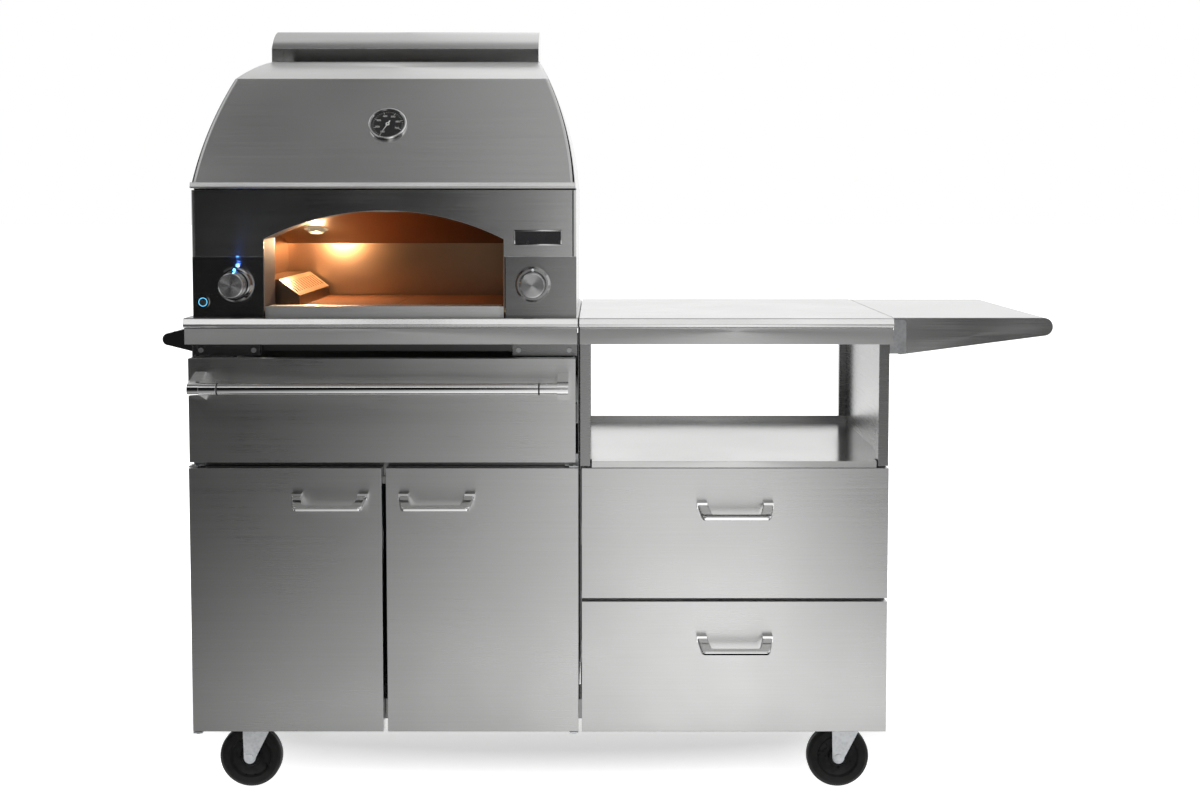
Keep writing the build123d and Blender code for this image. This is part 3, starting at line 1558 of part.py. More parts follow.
# Gas train: valves behind the panels, a manifold through the sill, and an inlet at the back;
# the straight pipes butt on square elbows
y_pipe = y_fascia + pipe_setback
valve_bottom = knob_height - valve_height / 2
corner = elbow / 2
with BuildPart() as gas_train:
    for way in (-1, 1):
        x = x_oven + way * knob_offset
        block(
            x - valve_width / 2,
            x + valve_width / 2,
            y_panel + valve_start,
            y_panel + valve_end,
            valve_bottom,
            valve_bottom + valve_height,
        )
        rod((x, y_panel + sheet, knob_height), (0, 1, 0), valve_boss, valve_start)
        riser = (x, y_pipe, pipe_height + corner + seam)
        rod(riser, (0, 0, 1), pipe_radius, valve_bottom - pipe_height - corner - 2 * seam)
    for x in (x_oven - knob_offset, x_oven + knob_offset, x_oven + inlet_offset):
        with Locations((x, y_pipe, pipe_height)):
            Box(elbow, elbow, elbow)
    manifold = (x_oven - knob_offset + corner + seam, y_pipe, pipe_height)
    rod(manifold, (1, 0, 0), pipe_radius, 2 * (knob_offset - corner - seam))
    link = (x_oven + knob_offset + corner + seam, y_pipe, pipe_height)
    rod(link, (1, 0, 0), inlet_pipe, inlet_offset - knob_offset - elbow - 2 * seam)
    supply = (x_oven + inlet_offset, y_pipe + corner + seam, pipe_height)
    rod(supply, (0, 1, 0), inlet_pipe, y_oven_back - y_pipe - corner - 2 * seam)
    inlet = (x_oven + inlet_offset, y_oven_back, pipe_height)
    with BuildSketch(Plane(inlet, z_dir=(0, 1, 0))) as nut:
        RegularPolygon(inlet_radius, 6)
    extrude(to_extrude=nut.sketch, amount=inlet_length)
    mouth_end = (x_oven + inlet_offset, y_oven_back + inlet_length, pipe_height)
    rod(mouth_end, (0, -1, 0), inlet_bore, inlet_thread, Mode.SUBTRACT)
    for way in (-1, 1):
        rod(
            (x_oven + way * knob_offset, y_panel, knob_height),
            (0, 1, 0),
            stem_radius + running_gap,
            stem_in + 1,
            Mode.SUBTRACT,
        )
gas_train.part.label = "gas_train"
export_step(gas_train.part, "parts/gas_train.step")

# Valve stems and knobs: the stem turns in its valve, the knob slides on the stem's flat
for name, way in (("left", -1), ("right", 1)):
    x = x_oven + way * knob_offset
    with BuildPart() as valve_stem:
        rod((x, y_panel + stem_in, knob_height), (0, -1, 0), stem_radius, stem_in + stem_out)
        block(
            x - stem_radius,
            x + stem_radius,
            y_panel - stem_out - 1,
            y_panel - knob_start + knob_travel + 1,
            knob_height - stem_radius - 1,
            knob_height - stem_flat,
            mode=Mode.SUBTRACT,
        )
    valve_stem.part.label = f"{name}_valve_stem"
    export_step(valve_stem.part, f"parts/{name}_valve_stem.step")
    with BuildPart() as knob:
        rod((x, y_panel - knob_start, knob_height), (0, -1, 0), knob_radius, knob_end - knob_start)
        fillet(knob.edges().sort_by(Axis.Y)[0], knob_fillet)
        y_socket = y_panel - stem_out - knob_travel - 2
        with BuildSketch(oven_plane(y_socket)) as socket:
            with Locations((way * knob_offset, knob_height)):
                Circle(stem_radius + running_gap)
            with Locations((way * knob_offset, knob_height - stem_flat - running_gap - stem_radius)):
                Rectangle(4 * stem_radius, 2 * stem_radius, mode=Mode.SUBTRACT)
        extrude(to_extrude=socket.sketch, amount=-(stem_out + knob_travel + 2), mode=Mode.SUBTRACT)
        block(
            x - 1,
            x + 1,
            y_panel - knob_end - 1,
            y_panel - knob_end + 1,
            knob_height + knob_radius / 2,
            knob_height + knob_radius,
            mode=Mode.SUBTRACT,
        )
    knob.part.label = f"{name}_knob"
    export_step(knob.part, f"parts/{name}_knob.step")

# Bezels around the knobs and the light button
with BuildPart() as control_bezels:
    for way in (-1, 1):
        x = x_oven + way * knob_offset
        with BuildSketch(Plane((x, y_panel, knob_height), x_dir=(1, 0, 0), z_dir=(0, 0, 1))) as ring:
            Polygon(
                (bezel_bore, 0),
                (bezel_radius, 0),
                (bezel_radius, -bezel_height * 0.6),
                (bezel_front_radius, -bezel_height),
                (bezel_bore + 1, -bezel_height),
                (bezel_bore, -bezel_height + 1),
                align=None,
            )
        revolve(profiles=ring.sketch, axis=Axis((x, y_panel, knob_height), (0, 1, 0)))
    button_spot = (x_oven - button_offset, y_panel, button_height)
    rod(button_spot, (0, -1, 0), button_bezel_radius, button_bezel_height)
    rod(button_spot, (0, -1, 0), button_bezel_bore, button_bezel_height + 1, Mode.SUBTRACT)
control_bezels.part.label = "control_bezels"
export_step(control_bezels.part, "parts/control_bezels.step")

with BuildPart() as light_button:
    rod((button_spot[0], y_panel - button_start, button_height), (0, -1, 0), button_radius, button_cap)
    fillet(light_button.edges().sort_by(Axis.Y)[0], button_round)
    rod((button_spot[0], y_panel - button_start, button_height), (0, 1, 0), button_stem, button_stem_length)
light_button.part.label = "light_button"
export_step(light_button.part, "parts/light_button.step")

# Thermometer on the hood: case with probe, dial with post, needle and lens
with BuildPart() as thermometer_case:
    on_gauge(gauge_radius, 0, gauge_case)
    fillet(thermometer_case.edges().sort_by(Axis(gauge_plane.origin, gauge_plane.z_dir))[-1], 2)
    on_gauge(gauge_bore, gauge_floor, gauge_case + 1, Mode.SUBTRACT)
    on_gauge(gauge_lens_radius, gauge_lens_seat, gauge_case + 1, Mode.SUBTRACT)
    on_gauge(gauge_probe, -gauge_probe_length, 0)
thermometer_case.part.label = "thermometer_case"
export_step(thermometer_case.part, "parts/thermometer_case.step")

dial_top = gauge_floor + gauge_dial
with BuildPart() as thermometer_dial:
    on_gauge(gauge_bore - bolt_gap, gauge_floor, dial_top)
    on_gauge(gauge_post, dial_top, dial_top + gauge_post_length)
thermometer_dial.part.label = "thermometer_dial"
export_step(thermometer_dial.part, "parts/thermometer_dial.step")

with BuildPart() as thermometer_needle:
    at = gauge_plane.from_local_coords((0, 0, dial_top + needle_start))
    with BuildSketch(Plane(at, x_dir=gauge_plane.x_dir, z_dir=gauge_plane.z_dir)) as pointer:
        a = radians(needle_rest)
        tip = (needle_length * sin(a), needle_length * cos(a))
        tail = (-needle_tail * sin(a), -needle_tail * cos(a))
        across = (needle_width / 2 * cos(a), -needle_width / 2 * sin(a))
        with BuildLine() as needle_line:
            Polyline(
                tip,
                (tail[0] + across[0], tail[1] + across[1]),
                (tail[0] - across[0], tail[1] - across[1]),
                close=True,
            )
        make_face(needle_line.edges())
        Circle(needle_hub)
        Circle(gauge_post + running_gap, mode=Mode.SUBTRACT)
    extrude(to_extrude=pointer.sketch, amount=needle_thick)
thermometer_needle.part.label = "thermometer_needle"
export_step(thermometer_needle.part, "parts/thermometer_needle.step")

with BuildPart() as thermometer_lens:
    on_gauge(gauge_lens_radius - bolt_gap, gauge_lens_seat, gauge_lens_seat + gauge_lens)
thermometer_lens.part.label = "thermometer_lens"
export_step(thermometer_lens.part, "parts/thermometer_lens.step")

# Blank badge plate on the fascia
with BuildPart() as badge_plate:
    x = x_oven + badge_offset
    block(
        x - badge_width / 2,
        x + badge_width / 2,
        y_fascia - badge_thick,
        y_fascia,
        badge_level - badge_height / 2,
        badge_level + badge_height / 2,
    )
    fillet(badge_plate.edges().filter_by(Axis.Y), badge_corner)
badge_plate.part.label = "badge_plate"
export_step(badge_plate.part, "parts/badge_plate.step")

# Screws: top rails, cabinet backs and oven back
screw_level = (top_rail_bottom + apron_bottom) / 2 - rail_screw_drop
rail_screws = []
for inner, outer_end in ((x_short, wall_left + sheet), (2 * x_oven - x_short, x_rail_end)):
    way = 1 if outer_end > inner else -1
    rail_screws += [inner + way * rail_screw_inner, outer_end - way * rail_screw_outer]
with BuildPart() as panel_screws:
    for x in rail_screws:
        rod((x, y_case, screw_level), (0, -1, 0), screw_radius, screw_head)
    for x in (wall_left + screw_inset, x_mid - screw_inset, x_bay + screw_inset, wall_right - screw_inset):
        for z in (caster_height + base_rail_height / 2, mid_rail_bottom - screw_drop):
            rod((x, y_back, z), (0, 1, 0), screw_radius, screw_head)
    for x in (x_oven - oven_half + oven_screw_inset, x_oven, x_oven + oven_half - oven_screw_right):
        for z in (counter_height + screw_inset, hood_bottom - oven_screw_drop):
            rod((x, y_oven_back, z), (0, 1, 0), screw_radius, screw_head)
panel_screws.part.label = "panel_screws"
export_step(panel_screws.part, "parts/panel_screws.step")
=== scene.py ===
"""Looks of a stainless pizza oven cart: finishes, small fitted pieces, studio and camera."""

import json
import math

import bmesh
import bpy
from mathutils import Matrix, Vector


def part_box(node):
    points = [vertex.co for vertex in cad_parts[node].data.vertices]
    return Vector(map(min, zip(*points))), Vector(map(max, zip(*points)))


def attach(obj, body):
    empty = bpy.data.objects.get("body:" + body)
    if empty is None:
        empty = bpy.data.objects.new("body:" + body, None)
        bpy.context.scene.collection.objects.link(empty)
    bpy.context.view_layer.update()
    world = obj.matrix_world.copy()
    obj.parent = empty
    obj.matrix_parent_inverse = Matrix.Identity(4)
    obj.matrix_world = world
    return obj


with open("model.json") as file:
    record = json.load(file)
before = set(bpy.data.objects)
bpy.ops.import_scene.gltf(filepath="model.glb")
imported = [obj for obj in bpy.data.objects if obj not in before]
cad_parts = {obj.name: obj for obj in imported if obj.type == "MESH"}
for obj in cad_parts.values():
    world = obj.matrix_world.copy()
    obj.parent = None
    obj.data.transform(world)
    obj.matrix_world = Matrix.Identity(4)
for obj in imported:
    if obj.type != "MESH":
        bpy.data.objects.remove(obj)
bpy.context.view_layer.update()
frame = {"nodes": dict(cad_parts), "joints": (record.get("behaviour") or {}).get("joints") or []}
nodes = frame["nodes"]
joints = {joint["name"]: joint for joint in frame["joints"]}
corners = ("front_left", "front_right", "rear_left", "rear_right")

# Camera, fitted to the photograph's frame: its distance to the door plane and its height in metres, and a
# high eye level that is partly tilt, in degrees, and partly lens shift, as a share of the picture's width
image_width = 1200
focal_px = 1604
camera_distance = 3.167
camera_height = 1.22
camera_side = -0.004
camera_tilt = 3.82
lens_shift = 0.082
sensor_width = 36.0

# Places where a finish changes, in metres, and how far a face has to turn to X for its grain to run along Y
side_facing = 0.7
worktop_face_drop = 0.021
hood_shoulder_drop = 0.062
wheel_core_radius = 0.0405
lamp_core_radius = 0.004
lamp_rim_radius = 0.014

# Small fitted pieces, in metres and degrees
led_radius = 0.0030
led_rise = 0.0012
led_above_knob = 0.0287
button_ring_radius = 0.0088
button_ring_tube = 0.0007
dial_face_height = 0.0025
dial_mark_lift = 0.0002
dial_tick_outer = 0.0312
dial_tick_long = 0.0052
dial_tick_short = 0.0028
dial_tick_wide = 0.0008
dial_number_radius = 0.0212
dial_number_size = 0.0062
dial_sweep_start = 207
dial_sweep = 270
dial_numbers = 7
dial_number_step = 100
dial_ticks_per_number = 5
bar_radius = 0.0125
bar_ring_inset = 0.057
bar_ring_radius = 0.0113
bar_ring_tube = 0.0016
badge_rim = 0.0022
badge_rim_rise = 0.0006
sharp_angle = 35

# Lamps in the object, in metres
bulb_forward = 0.004
bulb_drop = 0.014
bulb_radius = 0.010
led_lamp_forward = 0.006
led_lamp_above_knob = 0.034
led_lamp_radius = 0.002

# Studio, in metres: half the width of the room that polished metal sees, which is also its height, half the
# width of the floor, and the cards that lie on the floor and under the ceiling, from the front to the back
room = 6.0
floor_half = 60
card_lift = 0.004
far_depth = 2.6
middle_depth = 2.0
near_depth = 0.94
dark_depth = 0.22
strip_inset = 0.4
strip_depth = 1.4
overhead_end = 1.0

# The floor's glow grows between two distances from a place just behind the cart: its weaker glow under and
# round the cart is a painted soft shadow, on top of the real shadow that the lamps cast
painted_shadow_middle = (-0.12, 0.45, 0)
painted_shadow_stretch = (0.4, 1, 1)
painted_shadow_inner_reach = 0.42
painted_shadow_outer_reach = 0.64
floor_glow_in_painted_shadow = 0.42
floor_glow_past_painted_shadow = 0.95


def new_material(name):
    """A node material and its tree and main shader."""
    mat = bpy.data.materials.new(name)
    mat.use_nodes = True
    tree = mat.node_tree
    return mat, tree, tree.nodes["Principled BSDF"]


def add(tree, kind, **settings):
    """A shader node with some of its settings."""
    made = tree.nodes.new("ShaderNode" + kind)
    for key, value in settings.items():
        setattr(made, key, value)
    return made


def stretched(tree, scale, offset=(0, 0, 0)):
    """The piece's own coordinates in metres, moved and then multiplied along each axis."""
    coords = add(tree, "TexCoord")
    moved = add(tree, "VectorMath", operation="SUBTRACT")
    moved.inputs[1].default_value = offset
    scaled = add(tree, "VectorMath", operation="MULTIPLY")
    scaled.inputs[1].default_value = scale
    tree.links.new(coords.outputs["Object"], moved.inputs[0])
    tree.links.new(moved.outputs[0], scaled.inputs[0])
    return scaled.outputs[0]


def reach_from(tree, place, scale):
    """The distance from a place, with each axis counted by its scale."""
    made = add(tree, "VectorMath", operation="LENGTH")
    tree.links.new(stretched(tree, scale, place), made.inputs[0])
    return made.outputs["Value"]


def noise(tree, scale, detail=2.0):
    """A noise value from 0 to 1, with its scale along each axis."""
    made = add(tree, "TexNoise")
    made.inputs["Scale"].default_value = 1.0
    made.inputs["Detail"].default_value = detail
    tree.links.new(stretched(tree, scale), made.inputs["Vector"])
    return made.outputs["Fac"]


def cells(tree, scale):
    """The distance to the middle of the nearest of many cells."""
    made = add(tree, "TexVoronoi")
    made.inputs["Scale"].default_value = scale
    tree.links.new(stretched(tree, (1, 1, 1)), made.inputs["Vector"])
    return made.outputs["Distance"]


def math_node(tree, operation, first, second):
    """One calculation on values or sockets."""
    made = add(tree, "Math", operation=operation)
    for socket, value in zip(made.inputs, (first, second)):
        if isinstance(value, (int, float)):
            socket.default_value = value
        else:
            tree.links.new(value, socket)
    return made.outputs[0]


def blend(tree, first, second, share):
    """Two values added up, with the first one's share of the whole."""
    first_part = math_node(tree, "MULTIPLY", first, share)
    second_part = math_node(tree, "MULTIPLY", second, 1 - share)
    return math_node(tree, "ADD", first_part, second_part)


def remap(tree, value, low, high, start=0.3, end=0.7):
    """A value's middle range, moved to another range."""
    made = add(tree, "MapRange")
    made.inputs["From Min"].default_value = start
    made.inputs["From Max"].default_value = end
    made.inputs["To Min"].default_value = low
    made.inputs["To Max"].default_value = high
    tree.links.new(value, made.inputs["Value"])
    return made.outputs["Result"]


def ramp(tree, value, stops):
    """Colours placed along a value."""
    made = add(tree, "ValToRGB")
    elements = made.color_ramp.elements
    while len(elements) < len(stops):
        elements.new(0.5)
    for element, (place, color) in zip(elements, stops):
        element.position = place
        element.color = (*color, 1)
    tree.links.new(value, made.inputs["Fac"])
    return made.outputs["Color"]


def shade(color, factor):
    """A colour made lighter or darker."""
    return tuple(min(1.0, c * factor) for c in color)


def bump(tree, bsdf, height, strength, distance, edge=0.0):
    """Relief from a height value, over edges that are broken by a small radius."""
    made = add(tree, "Bump")
    made.inputs["Strength"].default_value = strength
    made.inputs["Distance"].default_value = distance
    tree.links.new(height, made.inputs["Height"])
    tree.links.new(made.outputs["Normal"], bsdf.inputs["Normal"])
    if edge:
        soft = add(tree, "Bevel", samples=4)
        soft.inputs["Radius"].default_value = edge
        tree.links.new(soft.outputs["Normal"], made.inputs["Normal"])


def draw_out(tree, bsdf, axis, amount):
    """Highlights drawn out by brush lines or turning marks, about an axis."""
    tangent = add(tree, "Tangent", direction_type="RADIAL", axis=axis)
    tree.links.new(tangent.outputs[0], bsdf.inputs["Tangent"])
    bsdf.inputs["Anisotropic"].default_value = amount
    bsdf.inputs["Anisotropic Rotation"].default_value = 0.25


def grain(tree, along, across):
    """Brush lines that run along X, or along Y on faces that look along X."""
    coords = add(tree, "TexCoord")
    parts = add(tree, "SeparateXYZ")
    tree.links.new(coords.outputs["Normal"], parts.inputs[0])
    facing = math_node(tree, "ABSOLUTE", parts.outputs["X"], 0)
    sideways = math_node(tree, "GREATER_THAN", facing, side_facing)
    mixed = add(tree, "Mix", data_type="FLOAT")
    tree.links.new(sideways, mixed.inputs["Factor"])
    tree.links.new(noise(tree, (along, across, across)), mixed.inputs["A"])
    tree.links.new(noise(tree, (across, along, across)), mixed.inputs["B"])
    return mixed.outputs["Result"]


def brushed_steel(name, color, rough, around="Z", metal=1.0, dull=None):
    """Stainless sheet with fine brush lines, faint bands and handling marks, and a duller part.

    The duller part is given by a comparison and a height, how much rougher it is there, and how much less of
    a mirror.
    """
    mat, tree, bsdf = new_material(name)
    fine = grain(tree, along=5, across=1100)
    bands = grain(tree, along=1.2, across=150)
    marks = noise(tree, (4, 4, 4), detail=4)
    lines = blend(tree, fine, bands, share=0.75)
    tint = ramp(tree, lines, ((0.3, shade(color, 0.96)), (0.7, shade(color, 1.03))))
    tree.links.new(tint, bsdf.inputs["Base Color"])
    spread = remap(tree, lines, rough - 0.025, rough + 0.025)
    wear = math_node(tree, "ADD", spread, remap(tree, marks, -0.03, 0.03))
    if dull:
        comparison, height, rougher, plainer = dull
        level = add(tree, "SeparateXYZ")
        tree.links.new(stretched(tree, (1, 1, 1)), level.inputs[0])
        there = math_node(tree, comparison, level.outputs["Z"], height)
        wear = math_node(tree, "ADD", wear, math_node(tree, "MULTIPLY", there, rougher))
        tree.links.new(remap(tree, there, metal, metal - plainer, 0, 1), bsdf.inputs["Metallic"])
    tree.links.new(wear, bsdf.inputs["Roughness"])
    bump(tree, bsdf, lines, strength=0.04, distance=0.0002, edge=0.0012)
    draw_out(tree, bsdf, around, 0.8)
    bsdf.inputs["Metallic"].default_value = metal
    return mat


def polished(name, color, rough):
    """Bright polished metal with slight waves and wipe marks."""
    mat, tree, bsdf = new_material(name)
    wipe = noise(tree, (30, 30, 30), detail=3)
    wave = noise(tree, (55, 55, 55), detail=1)
    tree.links.new(ramp(tree, wipe, ((0.3, shade(color, 0.95)), (0.7, color))), bsdf.inputs["Base Color"])
    tree.links.new(remap(tree, wipe, rough - 0.03, rough + 0.05), bsdf.inputs["Roughness"])
    bump(tree, bsdf, wave, strength=0.05, distance=0.0004)
    bsdf.inputs["Metallic"].default_value = 1.0
    return mat


def spun(name, color, node):
    """Metal turned on a lathe about Y: fine rings, with the highlights fanned out from the middle."""
    low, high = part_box(node)
    mat, tree, bsdf = new_material(name)
    rings = add(tree, "TexNoise", noise_dimensions="1D")
    rings.inputs["Scale"].default_value = 2600
    tree.links.new(reach_from(tree, (low + high) / 2, (1, 0, 1)), rings.inputs["W"])
    value = rings.outputs["Fac"]
    tree.links.new(ramp(tree, value, ((0.3, shade(color, 0.9)), (0.7, color))), bsdf.inputs["Base Color"])
    tree.links.new(remap(tree, value, 0.24, 0.34), bsdf.inputs["Roughness"])
    bump(tree, bsdf, value, strength=0.12, distance=0.0001)
    draw_out(tree, bsdf, "Y", 0.95)
    bsdf.inputs["Metallic"].default_value = 1.0
    return mat


def plated(name, color, metal=1.0):
    """Zinc plate: faint crystals in tone and gloss."""
    mat, tree, bsdf = new_material(name)
    cloud = noise(tree, (45, 45, 45), detail=4)
    value = math_node(tree, "MULTIPLY", math_node(tree, "ADD", cells(tree, 160), cloud), 0.6)
    tint = ramp(tree, value, ((0.2, shade(color, 0.86)), (0.8, shade(color, 1.08))))
    tree.links.new(tint, bsdf.inputs["Base Color"])
    tree.links.new(remap(tree, cloud, 0.28, 0.46), bsdf.inputs["Roughness"])
    bump(tree, bsdf, cloud, strength=0.08, distance=0.0003)
    bsdf.inputs["Metallic"].default_value = metal
    return mat


def heated_steel(name, color, rough, metal=1.0):
    """Bare sheet that has been hot: straw and brown tints in soft clouds over a fine grain."""
    mat, tree, bsdf = new_material(name)
    cloud = noise(tree, (5, 5, 5), detail=4)
    lines = grain(tree, along=6, across=1300)
    straw = (color[0], color[1] * 0.95, color[2] * 0.86)
    stops = ((0.3, color), (0.52, straw), (0.75, shade(straw, 0.9)))
    tree.links.new(ramp(tree, cloud, stops), bsdf.inputs["Base Color"])
    tree.links.new(remap(tree, lines, rough - 0.01, rough + 0.01), bsdf.inputs["Roughness"])
    bump(tree, bsdf, lines, strength=0.006, distance=0.0002)
    bsdf.inputs["Metallic"].default_value = metal
    return mat


def stone(name, color):
    """Fired hearth stone: a sandy body with pores, speckles and darker baking marks."""
    mat, tree, bsdf = new_material(name)
    speck = noise(tree, (700, 700, 700), detail=3)
    patch = noise(tree, (9, 9, 9), detail=5)
    stops = ((0.32, shade(color, 0.55)), (0.5, color), (0.68, shade(color, 1.25)))
    tree.links.new(ramp(tree, blend(tree, speck, patch, share=0.45), stops), bsdf.inputs["Base Color"])
    tree.links.new(remap(tree, patch, 0.75, 0.95), bsdf.inputs["Roughness"])
    pores = math_node(tree, "MULTIPLY", cells(tree, 380), 0.5)
    bump(tree, bsdf, math_node(tree, "ADD", pores, speck), strength=0.35, distance=0.0008)
    return mat


def wheel_rubber(name, node):
    """A caster wheel: a dull tread round a smoother core, told apart by their distance from the axle."""
    low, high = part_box(node)
    mat, tree, bsdf = new_material(name)
    reach = reach_from(tree, (low + high) / 2, (1, 0, 1))
    tread = math_node(tree, "GREATER_THAN", reach, wheel_core_radius)
    dust = noise(tree, (90, 90, 90), detail=5)
    core_tone = ramp(tree, dust, ((0.3, (0.008, 0.008, 0.009)), (0.75, (0.018, 0.018, 0.019))))
    tread_tone = ramp(tree, dust, ((0.3, (0.006, 0.006, 0.006)), (0.75, (0.014, 0.014, 0.013))))
    tone = add(tree, "Mix", data_type="RGBA")
    tree.links.new(tread, tone.inputs["Factor"])
    tree.links.new(core_tone, tone.inputs["A"])
    tree.links.new(tread_tone, tone.inputs["B"])
    tree.links.new(tone.outputs["Result"], bsdf.inputs["Base Color"])
    gloss = math_node(tree, "ADD", remap(tree, tread, 0.30, 0.50, 0, 1), remap(tree, dust, -0.05, 0.1))
    tree.links.new(gloss, bsdf.inputs["Roughness"])
    bump(tree, bsdf, dust, strength=0.15, distance=0.0004)
    bsdf.inputs["Specular IOR Level"].default_value = 0.25
    return mat


def enamel(name, color, rough):
    """Paint or enamel with a faint orange peel."""
    mat, tree, bsdf = new_material(name)
    peel = noise(tree, (900, 900, 900), detail=1)
    cloud = noise(tree, (60, 60, 60), detail=3)
    tree.links.new(ramp(tree, cloud, ((0.3, shade(color, 0.85)), (0.7, color))), bsdf.inputs["Base Color"])
    tree.links.new(remap(tree, cloud, rough - 0.05, rough + 0.08), bsdf.inputs["Roughness"])
    bump(tree, bsdf, peel, strength=0.06, distance=0.0001)
    return mat


def lens_body(tree, bsdf, color, darker, lighter):
    """The slightly cloudy body of a lit lens, with the colour of its glow."""
    cloud = noise(tree, (400, 400, 400), detail=1)
    body = ramp(tree, cloud, ((0.3, shade(color, darker)), (0.7, shade(color, lighter))))
    glow = ramp(tree, cloud, ((0.2, shade(color, 0.9)), (0.8, color)))
    tree.links.new(body, bsdf.inputs["Base Color"])
    tree.links.new(glow, bsdf.inputs["Emission Color"])
    tree.links.new(remap(tree, cloud, 0.15, 0.25), bsdf.inputs["Roughness"])


def glowing(name, color, strength):
    """A lens that is lit all over."""
    mat, tree, bsdf = new_material(name)
    lens_body(tree, bsdf, color, 0.8, 1.0)
    bsdf.inputs["Emission Strength"].default_value = strength
    return mat


def lit_bulb(name, color, node, strength):
    """A lamp lens seen from below: bright over its bulb, dim toward its rim."""
    low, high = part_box(node)
    mat, tree, bsdf = new_material(name)
    lens_body(tree, bsdf, color, 0.02, 0.03)
    reach = reach_from(tree, (low + high) / 2, (1, 1, 0))
    glow = remap(tree, reach, strength, strength / 10, lamp_core_radius, lamp_rim_radius)
    tree.links.new(glow, bsdf.inputs["Emission Strength"])
    return mat


def clear_glass(name):
    """A thin clear cover with faint dust."""
    mat, tree, bsdf = new_material(name)
    dust = noise(tree, (300, 300, 300), detail=4)
    tree.links.new(remap(tree, dust, 0.02, 0.07), bsdf.inputs["Roughness"])
    tree.links.new(remap(tree, dust, 0.10, 0.14), bsdf.inputs["Alpha"])
    bsdf.inputs["Base Color"].default_value = (0.02, 0.02, 0.02, 1)
    return mat


def fibre(name, color):
    """Loose mineral fibre."""
    mat, tree, bsdf = new_material(name)
    tuft = noise(tree, (120, 120, 400), detail=6)
    tree.links.new(ramp(tree, tuft, ((0.3, shade(color, 0.7)), (0.7, color))), bsdf.inputs["Base Color"])
    bump(tree, bsdf, tuft, strength=0.6, distance=0.003)
    bsdf.inputs["Roughness"].default_value = 0.95
    return mat


def dress(material, *names):
    """Give a finish to whole nodes."""
    for name in names:
        mesh = nodes[name].data
        mesh.materials.clear()
        mesh.materials.append(material)


# Finishes. The worktops are duller below their top face, and the hood above its shoulder
steel = (0.60, 0.60, 0.595)
worktop_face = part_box("left_worktop")[1].z - worktop_face_drop
hood_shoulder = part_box("hood_shell")[1].z - hood_shoulder_drop
dull_edge = ("LESS_THAN", worktop_face, 0.28, 0.2)
dull_roof = ("GREATER_THAN", hood_shoulder, 0.1, 0.5)
front_steel = brushed_steel("front_steel", steel, rough=0.30)
top_steel = brushed_steel("top_steel", shade(steel, 0.95), rough=0.14, around="Y", dull=dull_edge)
tray_steel = brushed_steel("tray_steel", shade(steel, 1.1), rough=0.2, around="Y")
# Painted shade: the frame, cabinet sides and base rails are the same steel made half as light, standing in
# for the shade under the worktop's front
shaded_frame_steel = brushed_steel("shaded_frame_steel", shade(steel, 0.5), rough=0.26)
# Painted shade: the recessed control panels are the same steel made darker, standing in for the shade and
# dimmer reflections they get
shaded_panel_steel = brushed_steel("shaded_panel_steel", shade(steel, 0.6), rough=0.2)
# Painted shade: the drawer boxes and tray are the same steel made darker, standing in for the shade inside
# the cabinet
shaded_inner_steel = brushed_steel("shaded_inner_steel", shade(steel, 0.55), rough=0.42)
oven_steel = brushed_steel("oven_steel", steel, rough=0.22)
hood_steel = brushed_steel("hood_steel", steel, rough=0.22, dull=dull_roof)
hot_steel = heated_steel("hot_steel", (0.44, 0.30, 0.20), rough=0.29)
liner_steel = heated_steel("liner_steel", (0.17, 0.13, 0.11), rough=0.6, metal=0.15)
burner_steel = heated_steel("burner_steel", (0.26, 0.20, 0.15), rough=0.34)
bright_steel = polished("bright_steel", (0.82, 0.82, 0.815), rough=0.06)
zinc = plated("zinc", (0.60, 0.61, 0.62))
brass = polished("brass", (0.72, 0.56, 0.27), rough=0.24)
dial_black = enamel("dial_black", (0.012, 0.012, 0.013), rough=0.5)
mark_white = enamel("mark_white", (0.85, 0.85, 0.82), rough=0.5)
badge_black = enamel("badge_black", (0.015, 0.015, 0.017), rough=0.22)
# Black for the rings laid in the grooves of the bars
black_groove_ring = enamel("black_groove_ring", (0.02, 0.02, 0.02), rough=0.6)

dress(front_steel, "wide_drawer_front", "upper_drawer_front", "lower_drawer_front", "left_door", "right_door")
dress(top_steel, "left_worktop", "right_worktop")
dress(tray_steel, "shelf_tray", "side_shelf")
dress(shaded_frame_steel, "face_frame", "cabinet_panels", "base_rails")
dress(oven_steel, "oven_casing", "oven_fascia", "chimney_cowl")
dress(hood_steel, "hood_shell")
dress(shaded_panel_steel, "control_panels")
dress(liner_steel, "mouth_liner")
# Painted light: the sill is the same steel made lighter, standing in for the bright reflection on its slanted
# face
dress(brushed_steel("lit_sill_steel", shade(steel, 1.2), rough=0.36, metal=0.9), "front_sill")
dress(shaded_inner_steel, "wide_drawer_tray", "upper_drawer_box", "lower_drawer_box")
# Painted shade: the burner box is the same steel made much darker, standing in for the shade in the recess
# under the worktop
dress(brushed_steel("shaded_burner_box_steel", shade(steel, 0.35), rough=0.4), "burner_box")
dress(hot_steel, "cavity_walls")
dress(burner_steel, "floor_burner", "side_burner")
dress(zinc, "slide_channels", "hinge_brackets", "hinge_pins", "caster_plates", "panel_screws")
dress(zinc, "left_valve_stem", "right_valve_stem")
dress(plated("fork_zinc", (0.80, 0.82, 0.84), metal=0.3), *(f"caster_fork_{corner}" for corner in corners))
dress(bright_steel, "push_handle", "wide_drawer_handle", "upper_drawer_pull", "lower_drawer_pull")
dress(bright_steel, "left_door_pull", "right_door_pull", "control_bezels", "thermometer_case")
dress(brass, "gas_train")
dress(stone("hearth_stone", (0.22, 0.09, 0.035)), "hearth_stones")
dress(fibre("fibre_blanket", (0.85, 0.84, 0.80)), "insulation")
dress(dial_black, "thermometer_dial")
dress(mark_white, "thermometer_needle")
